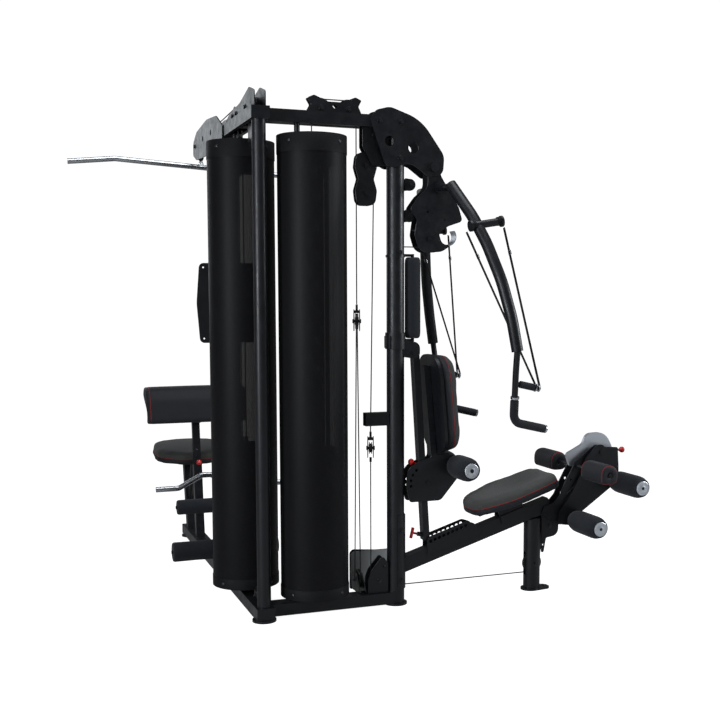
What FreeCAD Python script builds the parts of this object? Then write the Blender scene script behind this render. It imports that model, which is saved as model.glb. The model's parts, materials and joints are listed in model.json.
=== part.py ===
import FreeCAD, Part
import math
import os
import re
from FreeCAD import Placement, Rotation, Vector

# Multi station home gym in millimetres, +Z up. The origin is on the floor under the corner post.
# Arm A of the L-shaped frame runs along +X to the press and leg stations.
# Arm B runs along +Y to the lat station.

sizes = {
    "footThick": 9, "footRadius": 50,
    "beamWide": 76, "beamTall": 50, "beamWall": 3,
    "frameHeight": 2090, "armOffset": 50,
    "postRadius": 38, "cornerRadius": 28.5, "postWall": 3,
    "pressX": 599, "benchLegX": 1266, "latPostY": 545,
    "baseLengthB": 1800, "topLengthB": 587,
    "plate": 6, "thinPlate": 4,
    "shroudRadius": 143, "shroudWall": 1.6, "shroudBottom": 82, "shroudTop": 1992,
    "stackAX": 233, "stackBY": 335, "rodSpread": 62, "rodRadius": 9.5,
    "plateLong": 200, "plateDeep": 100, "plateThick": 25.4, "platePitch": 27,
    "stackBase": 128, "headThick": 36,
    "wheelPitch": 38, "cableRadius": 2.5, "axleRadius": 6,
    "benchSlope": 17.1, "benchTall": 65, "benchWide": 50,
    "armTube": 24, "handleTube": 13, "rollerRadius": 50,
    "barRadius": 13,
}


class Sizes:
    pass


S = Sizes()
S.__dict__.update(sizes)
baseTop = S.footThick + S.beamTall
beamUnder = S.frameHeight - S.beamTall
yA = S.armOffset
restPlates = 15
liftPlates = 5
up = Vector(0, 0, 1)
alongX = Vector(1, 0, 0)
alongY = Vector(0, 1, 0)

doc = FreeCAD.newDocument("HomeGym")
sheet = doc.addObject("Spreadsheet::Sheet", "Sizes")
for row, (alias, value) in enumerate(sizes.items(), 1):
    sheet.set(f"A{row}", alias)
    sheet.set(f"B{row}", str(value))
    sheet.setAlias(f"B{row}", alias)
doc.recompute()
aliasWord = re.compile(r"\b(" + "|".join(sizes) + r")\b")
nodes = []


def bind(item, prop, value):
    """Sets a size, or ties it to the sheet when it is written as an expression."""
    if isinstance(value, str):
        item.setExpression(prop, aliasWord.sub(r"Sizes.\1", value))
    else:
        setattr(item, prop, value)


def turnTo(direction):
    return Rotation(up, Vector(*direction))


def block(name, corner, length, width, height, turn=None):
    item = doc.addObject("Part::Box", name)
    bind(item, "Length", length)
    bind(item, "Width", width)
    bind(item, "Height", height)
    item.Placement = Placement(Vector(*corner), turn or Rotation())
    return item


def rod(name, radius, height, start, direction=(0, 0, 1)):
    item = doc.addObject("Part::Cylinder", name)
    bind(item, "Radius", radius)
    bind(item, "Height", height)
    item.Placement = Placement(Vector(*start), turnTo(direction))
    return item


def rodBetween(name, radius, start, end):
    run = Vector(*end) - Vector(*start)
    return rod(name, radius, run.Length, start, tuple(run))


def fuse(name, *items):
    item = doc.addObject("Part::MultiFuse", name)
    item.Shapes = list(items)
    return item


def group(name, *items):
    item = doc.addObject("Part::Compound", name)
    item.Links = list(items)
    return item


def cut(name, base, *tools):
    item = doc.addObject("Part::Cut", name)
    item.Base = base
    item.Tool = tools[0] if len(tools) == 1 else fuse(name + "Tools", *tools)
    return item


def mirror(name, source, normal, base):
    item = doc.addObject("Part::Mirroring", name)
    item.Source = source
    item.Normal = Vector(*normal)
    item.Base = Vector(*base)
    return item


def mirrorArmA(name, source):
    """Copies a piece to the other side of arm A's centre plane."""
    return mirror(name, source, (0, 1, 0), (0, yA, 0))


def mirrorArmB(name, source):
    return mirror(name, source, (1, 0, 0), (0, 0, 0))


def done(label, item):
    item.Label = label
    nodes.append(item)
    return item


def cornerArcs(points):
    """Turns (a, b) and (a, b, radius) corners into lines joined by tangent arcs."""
    edges = []
    corners = [Vector(p[0], p[1], 0) for p in points]
    radii = [p[2] if len(p) > 2 else 0 for p in points]
    count = len(points)
    starts, ends = [], []
    for i in range(count):
        before = (corners[i - 1] - corners[i]).normalize()
        after = (corners[(i + 1) % count] - corners[i]).normalize()
        half = before.getAngle(after) / 2
        shorter = min((corners[i - 1] - corners[i]).Length, (corners[(i + 1) % count] - corners[i]).Length)
        reach = min(radii[i] / math.tan(half), 0.49 * shorter)
        radii[i] = reach * math.tan(half)
        first = corners[i] + before * reach
        last = corners[i] + after * reach
        starts.append(first)
        ends.append(last)
        if reach:
            middleWay = (before + after).normalize()
            middle = corners[i] + middleWay * (radii[i] / math.sin(half) - radii[i])
            edges.append(Part.Arc(first, middle, last))
    for i in range(count):
        nextStart = starts[(i + 1) % count]
        if (nextStart - ends[i]).Length > 1e-4:
            edges.append(Part.LineSegment(ends[i], nextStart))
    return edges


def sketchOn(body, plane, outlines, circles, offset):
    sketch = body.newObject("Sketcher::SketchObject", body.Name + "Sketch")
    origin = [f for f in body.Origin.OriginFeatures if f.Role == plane][0]
    sketch.AttachmentSupport = [(origin, "")]
    sketch.MapMode = "FlatFace"
    sketch.AttachmentOffset = Placement(Vector(0, 0, offset), Rotation())
    for outline in outlines:
        sketch.addGeometry(cornerArcs(outline), False)
    for a, b, radius in circles:
        sketch.addGeometry(Part.Circle(Vector(a, b, 0), up, radius), False)
    return sketch


def padBody(name, plane, outline, low, thickness, holes=(), slots=()):
    """A flat piece: an outline padded from low, along the plane's positive normal in the world."""
    body = doc.addObject("PartDesign::Body", name)
    flipped = plane == "XZ_Plane"
    offset = -low if flipped else low
    sketch = sketchOn(body, plane, [outline] + list(slots), holes, offset)
    pad = body.newObject("PartDesign::Pad", name + "Pad")
    pad.Profile = sketch
    bind(pad, "Length", thickness)
    pad.Reversed = flipped
    return body


def turnedBody(name, profile, place=(0, 0, 0), direction=(0, 0, 1)):
    """A round piece: an outline of (radius, height) corners turned about its own axis."""
    body = doc.addObject("PartDesign::Body", name)
    sketch = sketchOn(body, "XZ_Plane", [profile], (), 0)
    turn = body.newObject("PartDesign::Revolution", name + "Turn")
    turn.Profile = sketch
    turn.ReferenceAxis = (sketch, ["V_Axis"])
    turn.Angle = 360
    body.Placement = Placement(Vector(*place), turnTo(direction))
    return body


def routeEdges(points, bends):
    """Straight runs joined by tangent arcs of the wanted radii, as large as the runs allow."""
    corners = [Vector(*p) for p in points]
    edges = []
    at = corners[0]
    for i in range(1, len(corners) - 1):
        back = corners[i - 1] - corners[i]
        ahead = corners[i + 1] - corners[i]
        half = back.getAngle(ahead) / 2
        room = min((at - corners[i]).Length, ahead.Length * (0.5 if i < len(corners) - 2 else 1))
        radius = min(bends[i - 1], 0.9999 * room * math.tan(half))
        reach = radius / math.tan(half)
        first = corners[i] + back.normalize() * reach
        last = corners[i] + ahead.normalize() * reach
        middleWay = (first + last - corners[i] * 2).normalize()
        middle = corners[i] + middleWay * (radius / math.sin(half) - radius)
        if (first - at).Length > 0.02:
            edges.append(Part.LineSegment(at, first).toShape())
        else:
            first = at
        edges.append(Part.Arc(first, middle, last).toShape())
        at = last
    if (corners[-1] - at).Length > 0.02:
        edges.append(Part.LineSegment(at, corners[-1]).toShape())
    return edges


def sweptRod(name, points, bends, radius):
    """A round bar bent along a route."""
    if not isinstance(bends, (list, tuple)):
        bends = [bends] * (len(points) - 2)
    path = doc.addObject("Part::Feature", name + "Path")
    path.Shape = Part.Wire(routeEdges(points, bends))
    return sweptAlong(name, path, radius)


def sweptAlong(name, path, radius):
    first = path.Shape.Edges[0]
    ring = doc.addObject("Part::Circle", name + "Ring")
    bind(ring, "Radius", radius)
    start = first.FirstParameter
    ring.Placement = Placement(first.valueAt(start), turnTo(first.tangentAt(start)))
    sweep = doc.addObject("Part::Sweep", name)
    sweep.Sections = [ring]
    sweep.Spine = (path, [f"Edge{i + 1}" for i in range(len(path.Shape.Edges))])
    sweep.Solid = True
    sweep.Frenet = False
    return sweep


def boxTube(name, corner, length, width, height, wall, along="Length", turn=None):
    """A rectangular tube, open along one of its sides."""
    place = Placement(Vector(*corner), turn or Rotation())
    outer = block(name + "Outer", corner, length, width, height, turn)
    spans = {"Length": length, "Width": width, "Height": height}
    inset = Vector(wall, wall, wall)
    setattr(inset, {"Length": "x", "Width": "y", "Height": "z"}[along], -1)
    inner = block(name + "Inner", tuple(place.multVec(inset)), 1, 1, 1, turn)
    for prop, span in spans.items():
        trim = -2 if prop == along else 2 * wall
        bind(inner, prop, f"{span} - {trim}" if isinstance(span, str) else span - trim)
    return cut(name, outer, inner)


def postTube(name, radius, wall, bottom, height, x, y):
    outer = rod(name + "Outer", radius, height, (x, y, bottom))
    inner = rod(name + "Inner", f"{radius} - {wall}", height, (x, y, bottom))
    return cut(name, outer, inner)


def wheel(name, centre, axis, pitch=None, half=7):
    """A grooved cable wheel with a raised hub and a bore for its axle."""
    pitch = pitch or S.wheelPitch
    rim = pitch + 4
    groove = pitch - S.cableRadius - 0.2
    bore = S.axleRadius + 0.05
    profile = [(bore, -half - 2), (16, -half - 2), (16, -half), (rim, -half), (rim, 2 - half),
               (groove, -2.2), (groove, 2.2), (rim, half - 2), (rim, half), (16, half),
               (16, half + 2), (bore, half + 2)]
    return turnedBody(name, profile, centre, axis)


def axle(name, centre, axis, half, radius="axleRadius"):
    """A pulley bolt: shank and two domed heads."""
    way = Vector(*axis).normalize()
    start = Vector(*centre) - way * half
    shank = rod(name + "Shank", radius, 2 * half, tuple(start), axis)
    headA = rod(name + "HeadA", 9, 5, tuple(start - way * 5), axis)
    headB = rod(name + "HeadB", 9, 5, tuple(Vector(*centre) + way * half), axis)
    return fuse(name, shank, headA, headB)


def ballKnob(name, start, direction):
    """A pull knob: a short neck that widens to a rounded ball."""
    return turnedBody(name, [(0, 0), (8, 0, 3), (14, 8, 8), (14, 20, 9), (0, 28)], start, direction)


def foamRoller(name, start, end, radius, bore):
    """A foam sleeve with softly rounded ends on a shaft."""
    run = Vector(*end) - Vector(*start)
    length = run.Length
    profile = [(bore, 0), (radius * 0.8, 0, 6), (radius, 22, 20), (radius, length - 22, 20),
               (radius * 0.8, length, 6), (bore, length)]
    return turnedBody(name, profile, start, tuple(run))


# frame
topWheelsA = ((271, 2107), (387, 2107))
blockWheels = ((463, 1885), (463, 1770))
lowRunZ = 82
baseWheelPitch = 32
baseWheel = (517, lowRunZ + baseWheelPitch)
legWheelPitch = 41.5
legWheel = (S.benchLegX, lowRunZ + legWheelPitch)
benchWheel = (1347, 290)
stubX = 485
lowWheelB = (837, 73)
cornerWheelB = (127, 73)
latLine, curlLine = -9, 9
postWheel = (604, 1525)
gussetBolts = ((516, 2066), (611, 2066), (608, 1915))
sleeveBolts = ((614, 330), (614, 110))
topWheelsB = ((127, 2107), (297, 2107), (373, 2107), (1163, 2080))
pressWheelPitch = 35
pressWheel = (742, 1585)
framePivot = (672, 1100)
rollX = 678
guideSpots = ((664, 1812), (664, 1680))


def baseFrame():
    beamA = boxTube("BaseBeamA", (S.beamWide / 2, yA - 38, S.footThick), "pressX - beamWide / 2 - 14",
                    "beamWide", "beamTall", S.beamWall)
    notch = rod("BaseBeamANotch", "postRadius + 0.05", 80, (S.pressX, yA, 0))
    beamB = boxTube("BaseBeamB", (-38, -38, S.footThick), "beamWide", "baseLengthB + 38", "beamTall",
                    S.beamWall, "Width")
    slots = [block(f"BaseBeamBSlot{i}", (curlLine - 11, y - 46, 40), 22, 92, 30)
             for i, y in enumerate((lowWheelB[0], cornerWheelB[0]))]
    plate = padBody("FootPlate", "XZ_Plane", [(470, 12, 8), (470, 196, 22), (672, 178, 22), (672, 12, 8)],
                    300, 5)
    stay = block("FootPlateStay", (480, yA + 38, 14), 40, 300 - yA - 38, 34)
    copedA = cut("BaseBeamACoped", beamA, notch)
    slottedB = cut("BaseBeamBSlotted", beamB, *slots)
    rounds = [rod(f"Foot{i}", "footRadius", "footThick", (x, y, 0))
              for i, (x, y) in enumerate(((0, 0), (S.pressX, yA), (0, 1740)))]
    caps = [endCap(f"BaseCap{i}", (0, y, S.footThick + 25), (69.9, 12, 43.9))
            for i, y in enumerate((-32, 1794))]
    done("base_frame", group("BaseFrame", fuse("BaseWelded", copedA, slottedB, plate, stay, *rounds), *caps))


def endCap(name, middle, spans):
    """A plastic plug seated in the mouth of a beam."""
    return block(name, tuple(Vector(*middle) - Vector(*spans) * 0.5), *spans)


def topFrame():
    beamA = boxTube("TopBeamA", (38, yA - 38, beamUnder), "pressX - 1", "beamWide", "beamTall", S.beamWall)
    slotA = block("TopBeamASlot", (224, yA - 11, beamUnder - 1), 212, 22, 60)
    beamB = boxTube("TopBeamB", (-38, -38, beamUnder), "beamWide", "topLengthB + 38", "beamTall",
                    S.beamWall, "Width")
    slots = [block(f"TopBeamBSlot{i}", (-21, low, beamUnder - 1), 42, high - low, 60)
             for i, (low, high) in enumerate(((81, 181), (255, 415)))]
    bores = [rod(f"TopBeamABore{i}", 5.05, 90, (x, yA - 45, z), (0, 1, 0))
             for i, (x, z) in enumerate(gussetBolts[:2])]
    cutA = cut("TopBeamASlotted", beamA, slotA, *bores)
    cutB = cut("TopBeamBSlotted", beamB, *slots)
    caps = [endCap(f"TopCapB{i}", (0, y, beamUnder + 25), (69.9, 12, 43.9))
            for i, y in enumerate((-32, 581))]
    caps.append(endCap("TopCapA", (629, yA, beamUnder + 25), (12, 69.9, 43.9)))
    done("top_frame", group("TopFrame", fuse("TopWelded", cutA, cutB), *caps))


def hingeBracket():
    """The pivot plates, the two collars and the pole of the head roll."""
    plate = padBody("HingePlateNear", "XZ_Plane",
                    [(560, 1172, 4), (700, 1140, 30), (700, 1070, 26), (640, 1078, 30), (560, 1120, 4)],
                    yA - 33, 5, [(framePivot[0], framePivot[1], 7.05)])
    far = mirrorArmA("HingePlateFar", plate)
    collar = rod("HingeCollar", 44, 70, (S.pressX, yA, 1115))
    rollCollar = rod("RollCollar", 42, 10, (S.pressX, yA, 1505))
    arms = [rod(f"RollArm{i}", 6, rollX - S.pressX, (S.pressX, yA, z), (1, 0, 0))
            for i, z in enumerate((1152, 1514))]
    pole = rod("RollPole", 7, 374, (rollX, yA, 1146))
    bore = rod("HingeBore", "postRadius + 0.05", 600, (S.pressX, yA, 1050))
    solid = cut("HingeBracket", fuse("HingeParts", plate, far, collar, rollCollar, *arms, pole), bore)
    return solid, axle("HingePin", (framePivot[0], yA, framePivot[1]), (0, 1, 0), 33, 7)


def latPost():
    post = boxTube("LatPost", (-25, S.latPostY - 38, baseTop), 50, 76, beamUnder - baseTop, 3, "Height")
    near = padBody("FootBraceNear", "YZ_Plane",
                   [(570, 59, 6), (570, 240, 20), (690, 260, 60), (760, 400, 20), (840, 400, 20),
                    (846, 200, 30), (886, 110, 20), (886, 59, 8)],
                   -33, 5, [(lowWheelB[0], lowWheelB[1], 6.05)])
    far = mirrorArmB("FootBraceFar", near)
    spacer = block("FootBraceSpacer", (-28, 583, 120), 56, 30, 60)
    shafts = [rod(f"FootShaft{z}{side}", 8, length, (side * 28, 770, z), (side, 0, 0))
              for z, length in ((352, 206), (140, 230)) for side in (-1, 1)]
    arms = [block(f"PlacardArm{z}", (-30, 583, z), 60, 17, 30) for z in (1180, 1410)]
    return fuse("LatPostWelded", post, near, far, spacer, *shafts, *arms)


def posts():
    corner = postTube("CornerPost", "cornerRadius", "postWall", baseTop, beamUnder - baseTop, 0, 0)
    done("corner_post", corner)
    press = postTube("PressPost", "postRadius", "postWall", S.footThick, beamUnder - S.footThick,
                     S.pressX, yA)
    lowHole = rod("PressPostLowHole", 8, 100, (S.pressX - 50, yA, lowRunZ), (1, 0, 0))
    cableSlot = block("PressPostSlot", (S.pressX, yA - 6, 1538), 60, 12, 24)
    crossing = [gussetBolts[2] + (5.05,)] + [bolt + (5.05,) for bolt in sleeveBolts] + [postWheel + (3.05,)]
    bores = [rod(f"PressPostBore{i}", radius, 90, (x, yA - 45, z), (0, 1, 0))
             for i, (x, z, radius) in enumerate(crossing)]
    stub = boxTube("StubTube", (458, yA - 20, 788), 105, 40, 56, 2.5)
    stubTrim = rod("StubTrim", "postRadius - 0.5", 100, (S.pressX, yA, 770))
    stubHole = rod("StubHole", 8, 100, (stubX + 1, yA, 770))
    stubCut = cut("StubCoped", stub, stubTrim, stubHole)
    tubes = fuse("PressPostTubes", cut("PressPostCut", press, lowHole, cableSlot, *bores), stubCut)
    done("press_post", group("PressPostWelded", tubes, *hingeBracket()))
    leg = postTube("BenchLeg", "postRadius", "postWall", S.footThick, 325, S.benchLegX, yA)
    slope = block("BenchLegSlope", benchPoint(S.benchLegX - 100, 0, yA - 60), 240, 120, 90,
                  Rotation(alongY, -S.benchSlope))
    wheelSlot = block("BenchLegSlot", (S.benchLegX - 60, yA - 11, legWheel[1] - 54), 120, 22, 108)
    bore = rod("BenchLegBore", 6.05, 90, (legWheel[0], yA - 45, legWheel[1]), (0, 1, 0))
    flange = padBody("BenchFlange", "XY_Plane",
                     [(1216, 0, 48), (1352, 22, 27), (1352, 78, 27), (1216, 100, 48)],
                     0, "footThick", [(1328, yA, 5.5)])
    done("bench_leg", fuse("BenchLegWelded", cut("BenchLegCut", leg, slope, wheelSlot, bore), flange))
    done("lat_post", latPost())


def benchUnder(x):
    """Height of the bench tube's underside at x."""
    return 142 + math.tan(math.radians(S.benchSlope)) * (x - 638)


def benchPoint(x, above, y=yA):
    """A point at x on the bench line, lifted square to the tube from its underside."""
    slope = math.radians(S.benchSlope)
    return (x - above * math.sin(slope), y, benchUnder(x) + above * math.cos(slope))


def gussets():
    outline = [(472, 2072, 20), (500, 2110, 30), (560, 2126, 60), (700, 2080, 200), (806, 1935, 60),
               (800, 1852, 36), (733, 1844, 20), (655, 1900, 60), (545, 1868, 40), (497, 2000, 60)]
    holes = [(558, 1985, 21), (665, 1962, 23), (761, 1885, 9.05)] + [bolt + (5.05,) for bolt in gussetBolts]
    near = padBody("GussetNear", "XZ_Plane", outline, yA - 44, "plate", holes)
    brace = padBody("BraceNear", "XZ_Plane",
                    [(446, 2039.5, 4), (446, 1960, 14), (486, 1884, 14), (560, 1884, 6), (560, 2039.5, 4)],
                    yA - 24, 5, [(501, 2010, 5.05)])
    done("gusset_plates", group("Gussets", near, mirrorArmA("GussetFar", near),
                                brace, mirrorArmA("BraceFar", brace)))


def pulleyBrackets():
    topA = padBody("TopBracketA", "XZ_Plane",
                   [(212, 2091, 4), (228, 2120, 8), (212, 2146, 5), (240, 2158, 10), (300, 2134, 14),
                    (358, 2134, 14), (418, 2158, 10), (444, 2146, 5), (430, 2120, 8), (444, 2091, 4)],
                   yA - 18, 5, [(x, z, 6.05) for x, z in topWheelsA], [diamond(329, 2116, 11)])
    baseA = padBody("BasePlateA", "XZ_Plane",
                    [(464, 60, 4), (556, 60, 4), (556, 190, 10), (530, 222, 12), (478, 160, 20),
                     (464, 120, 10)],
                    yA - 24, 5, [baseWheel + (6.05,), (538, 176, 6)])
    tabs = [padBody(f"GuideTab{z}", "XZ_Plane",
                    [(637.5, z - 26, 3), (672, z - 22, 18), (686, z, 16), (672, z + 22, 18),
                     (637.5, z + 26, 3)],
                    yA - 16, 4, [(x, z, 6.05)]) for x, z in guideSpots]
    hook = padBody("BenchPulleyPlate", "XZ_Plane",
                   [(1306, 420, 3), (1306, 170, 8), (1318, 170, 8), (1330, 236, 6), (1394, 246, 50),
                    (1392, 345, 44), (1360, 420, 3)],
                   yA - 18, 5, [benchWheel + (6.05,), (1314, 205, 4)])
    tube = block("BenchPulleyTube", benchPoint(1200, 0, yA - 40), 300, 80, 120,
                 Rotation(alongY, -S.benchSlope))
    armA = [topA, baseA, *tabs, cut("BenchPulleyTrim", hook, tube)]
    armA += [mirrorArmA(f"BracketFarA{i}", item) for i, item in enumerate(armA)]
    topB = padBody("TopBracketB", "YZ_Plane",
                   [(-30, 2091, 3), (-30, 2150, 14), (60, 2176, 40), (230, 2140, 60), (440, 2125, 40),
                    (560, 2091, 10)],
                   -24, 4, [(y, z, 6.05) for y, z in topWheelsB[:3]])
    armB = [topB, mirrorArmB("TopBracketBFar", topB)]
    hang = padBody("HangPlateB", "YZ_Plane",
                   [(96, 2039, 4), (96, 1970, 28), (127, 1925, 20), (158, 1970, 28), (158, 2039, 4)],
                   curlLine - 16, 4, [(127, 1970, 6.05)])
    low = padBody("LowPlateB", "YZ_Plane", [(100, 60, 4), (100, 96, 14), (154, 96, 14), (154, 60, 4)],
                  curlLine - 16, 4, [cornerWheelB + (6.05,)])
    curl = [hang, low] + [mirror(f"CurlPlateFar{i}", item, (1, 0, 0), (curlLine, 0, 0))
                          for i, item in enumerate((hang, low))]
    row = padBody("RowPlate", "YZ_Plane", [(30, 60, 4), (150, 60, 10), (150, 140, 20), (90, 140, 20)],
                  430, 4, [(110, 110, 6.05)])
    rowFar = mirror("RowPlateFar", row, (1, 0, 0), (445, 0, 0))
    done("pulley_brackets", group("PulleyBrackets", *armA, *armB, *curl, row, rowFar))


def diamond(x, z, reach):
    return [(x - reach, z), (x, z - reach), (x + reach, z), (x, z + reach)]


def latBoom():
    outline = [(500, 2041, 6), (500, 2088, 6), (640, 2150, 60), (860, 2166, 500), (1120, 2144, 80),
               (1216, 2100, 30), (1216, 2040, 20), (1130, 2010, 30), (900, 2002, 60), (640, 1990, 30),
               (560, 1990, 10)]
    near = padBody("BoomNear", "YZ_Plane", outline, -44, "plate",
                   [(1163, 2080, 6.05), (760, 2092, 14), (960, 2090, 14)])
    spacers = [rod(f"BoomSpacer{i}", 10, 76, (-38, y, z), (1, 0, 0))
               for i, (y, z) in enumerate(((700, 2040), (1000, 2040)))]
    done("lat_boom", group("LatBoom", near, mirrorArmB("BoomFar", near), *spacers))


def frameBolts():
    acrossA = [(bolt, 44, 5) for bolt in gussetBolts]
    acrossA += [(spot, 18, 6) for spot in topWheelsA + (benchWheel,)]
    acrossA += [((501, 2010), 24, 5), (baseWheel, 24, 6), (guideSpots[0], 16, 6), (guideSpots[1], 16, 6),
                (legWheel, 38, 6), (postWheel, 38, 3)]
    acrossA += [(bolt, 43, 5) for bolt in sleeveBolts]
    bolts = [axle(f"BoltA{i}", (x, yA, z), (0, 1, 0), half, radius)
             for i, ((x, z), half, radius) in enumerate(acrossA)]
    acrossB = [(spot, 0, 24) for spot in topWheelsB[:3]]
    acrossB += [(topWheelsB[3], 0, 44), (lowWheelB, 0, 33), ((127, 1970), curlLine, 16),
                (cornerWheelB, curlLine, 16), ((110, 110), 445, 15)]
    bolts += [axle(f"BoltB{i}", (x, y, z), (1, 0, 0), half)
              for i, ((y, z), x, half) in enumerate(acrossB)]
    done("frame_bolts", group("FrameBolts", *bolts))


def shroud(label, x, y, facing):
    """A tall perforated guard, open on the side that faces the corner of the frame."""
    outer = rod(label + "Outer", "shroudRadius", "shroudTop - shroudBottom", (x, y, S.shroudBottom))
    inner = rod(label + "Inner", "shroudRadius - shroudWall", "shroudTop - shroudBottom",
                (x, y, S.shroudBottom))
    way = Vector(math.sin(math.radians(facing)), math.cos(math.radians(facing)), 0)
    turn = Rotation(up, 90 - facing)
    side = Vector(way.y, -way.x, 0)
    half = 58
    low, high = 250, 1830
    corner = Vector(x, y, low) + way * 60 + side * half
    window = block(label + "Window", tuple(corner), 120, 2 * half, high - low, turn)
    arch = rod(label + "Arch", half, 120, tuple(Vector(x, y, high) + way * 60), tuple(way))
    done(label, cut(label + "Wrap", outer, inner, window, arch))


def stackEnds():
    """The round end plates, hanger tubes, base spacers and rubber bumpers of both stacks."""
    pieces = []
    for tag, x, y, hangX, hangY in (("A", S.stackAX, yA, S.stackAX - 62, yA), ("B", 0, S.stackBY, 0, 445)):
        edge = S.shroudRadius - S.shroudWall - 0.3
        rods = [(x - S.rodSpread, y, S.rodRadius + 0.05), (x + S.rodSpread, y, S.rodRadius + 0.05)]
        pieces.append(discBody(f"TopPlate{tag}", x, y, edge, 1984, 4, rods + [(x, y, 20)]))
        pieces.append(discBody(f"BottomPlate{tag}", x, y, edge, 84, 5, rods))
        pieces.append(boxTube(f"Spacer{tag}", (x - 60, y - 36, baseTop), 120, 72, 84 - baseTop, 3))
        pieces.append(rod(f"Hanger{tag}", 12, beamUnder - 1988, (hangX, hangY, 1988)))
    for i, (x, y) in enumerate(rodPlaces()):
        outer = rod(f"Bumper{i}Outer", 20, 38, (x, y, 89))
        inner = rod(f"Bumper{i}Inner", "rodRadius + 0.05", 38, (x, y, 89))
        pieces.append(cut(f"Bumper{i}", outer, inner))
    done("stack_end_plates", group("StackEnds", *pieces))


def discBody(name, x, y, radius, low, thickness, holes):
    body = doc.addObject("PartDesign::Body", name)
    sketch = sketchOn(body, "XY_Plane", [], [(x, y, radius)] + list(holes), low)
    pad = body.newObject("PartDesign::Pad", name + "Pad")
    pad.Profile = sketch
    bind(pad, "Length", thickness)
    return body


def guideRods():
    rods = [rod(f"GuideRod{i}", "rodRadius", 1988 - 84, (x, y, 84))
            for i, (x, y) in enumerate(rodPlaces())]
    done("guide_rods", group("GuideRods", *rods))


def rodPlaces():
    return [(x + side * S.rodSpread, y) for x, y in ((S.stackAX, yA), (0, S.stackBY)) for side in (-1, 1)]


def stackTools(tag, x, y, low, high):
    tools = [rod(f"StackHole{tag}{side}", "rodRadius + 1", high - low, (x + side * S.rodSpread, y, low))
             for side in (-1, 1)]
    tools.append(rod(f"StackStemHole{tag}", 11, high - low, (x, y, low)))
    return tools


def weightPlates():
    solids = []
    for tag, x, y in (("A", S.stackAX, yA), ("B", 0, S.stackBY)):
        boxes = [weightBox(f"Weight{tag}{i}", x, y, S.stackBase + i * S.platePitch)
                 for i in range(restPlates)]
        tools = stackTools("Rest" + tag, x, y, 100, 600)
        tools += [rod(f"PinHole{tag}{i}", 5.6, 60, (x, y, S.stackBase + i * S.platePitch + 12.7), (0, 1, 0))
                  for i in range(restPlates)]
        solids.append(cut(f"RestStack{tag}", group(f"RestBoxes{tag}", *boxes), *tools))
    done("weight_plates", group("WeightPlates", *solids))


def weightBox(name, x, y, z):
    return block(name, (x - S.plateLong / 2, y - S.plateDeep / 2, z), "plateLong", "plateDeep",
                 "plateThick")


def stackHead(label, tag, x, y, cableSpots):
    """The plates above the pin, the head plate and the selector stem, which rise together."""
    first = S.stackBase + restPlates * S.platePitch
    top = first + liftPlates * S.platePitch
    boxes = [weightBox(f"Lift{tag}{i}", x, y, first + i * S.platePitch) for i in range(liftPlates)]
    head = block(f"Head{tag}", (x - 95, y - 42, top), 190, 84, "headThick")
    holes = stackTools("Lift" + tag, x, y, first - 5, top + 60)[:2]
    pinHoles = [rod(f"LiftPinHole{tag}{i}", 5.06 if i == 0 else 5.6, 60,
                    (x, y, first + i * S.platePitch + 12.7), (0, 1, 0)) for i in range(liftPlates)]
    stem = rod(f"Stem{tag}", 8.5, top + 20 - 140, (x, y, 140))
    stemHole = rod(f"StemPinHole{tag}", 5.06, 60, (x, y - 30, first + 12.7), (0, 1, 0))
    stack = cut(f"LiftStack{tag}", fuse(f"LiftBoxes{tag}", *boxes, head, stem), *holes, *pinHoles, stemHole)
    eyes = [rod(f"Eye{tag}{i}", 8, 26, (x + dx, y, top + S.headThick)) for i, dx in enumerate(cableSpots)]
    done(label, fuse(label + "Head", stack, *eyes))


def selectorPin(label, x, y):
    z = S.stackBase + restPlates * S.platePitch + 12.7
    shank = rod(label + "Shank", 5, 68, (x, y - 8, z), (0, 1, 0))
    handle = turnedBody(label + "Handle", [(0, 0), (9, 0, 3), (9, 4), (15, 8, 4), (15, 22, 7), (0, 22)],
                        (x, y + 52, z), (0, 1, 0))
    done(label, fuse(label + "Pin", shank, handle))


# cables
def wrapEdges(stops, place):
    """Straight runs tangent to the wheels they pass, with an arc round each wheel.

    A stop is a point (a, b) or a wheel (a, b, radius), where a positive radius turns anticlockwise.
    """
    radii = [stop[2] if len(stop) > 2 else 0 for stop in stops]
    centres = [Vector(stop[0], stop[1], 0) for stop in stops]
    edges = []
    arrival = centres[0]
    for i in range(1, len(stops)):
        span = centres[i] - centres[i - 1]
        turn = math.acos((radii[i - 1] - radii[i]) / span.Length)
        side = Rotation(up, -math.degrees(turn)).multVec(span.normalize())
        leave = centres[i - 1] + side * radii[i - 1]
        reach = centres[i] + side * radii[i]
        if radii[i - 1]:
            edges.append(wheelArc(centres[i - 1], arrival, leave, radii[i - 1], place))
        edges.append(Part.LineSegment(place(leave), place(reach)).toShape())
        arrival = reach
    return edges


def wheelArc(centre, first, last, radius, place):
    start, end = first - centre, last - centre
    sweep = math.degrees(math.atan2(start.cross(end).z, start.dot(end)))
    if sweep * radius < 0:
        sweep += math.copysign(360, radius)
    middle = centre + Rotation(up, sweep / 2).multVec(start)
    return Part.Arc(place(first), place(middle), place(last)).toShape()


def cable(label, stops, place):
    """A cable in one upright plane, run tangent to its wheels."""
    edges = wrapEdges(stops, place)
    path = doc.addObject("Part::Feature", label + "Path")
    path.Shape = Part.Wire(edges)
    done(label, sweptAlong(label + "Sweep", path, "cableRadius"))


def onArmA(flat):
    return Vector(flat.x, yA, flat.y)


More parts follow.
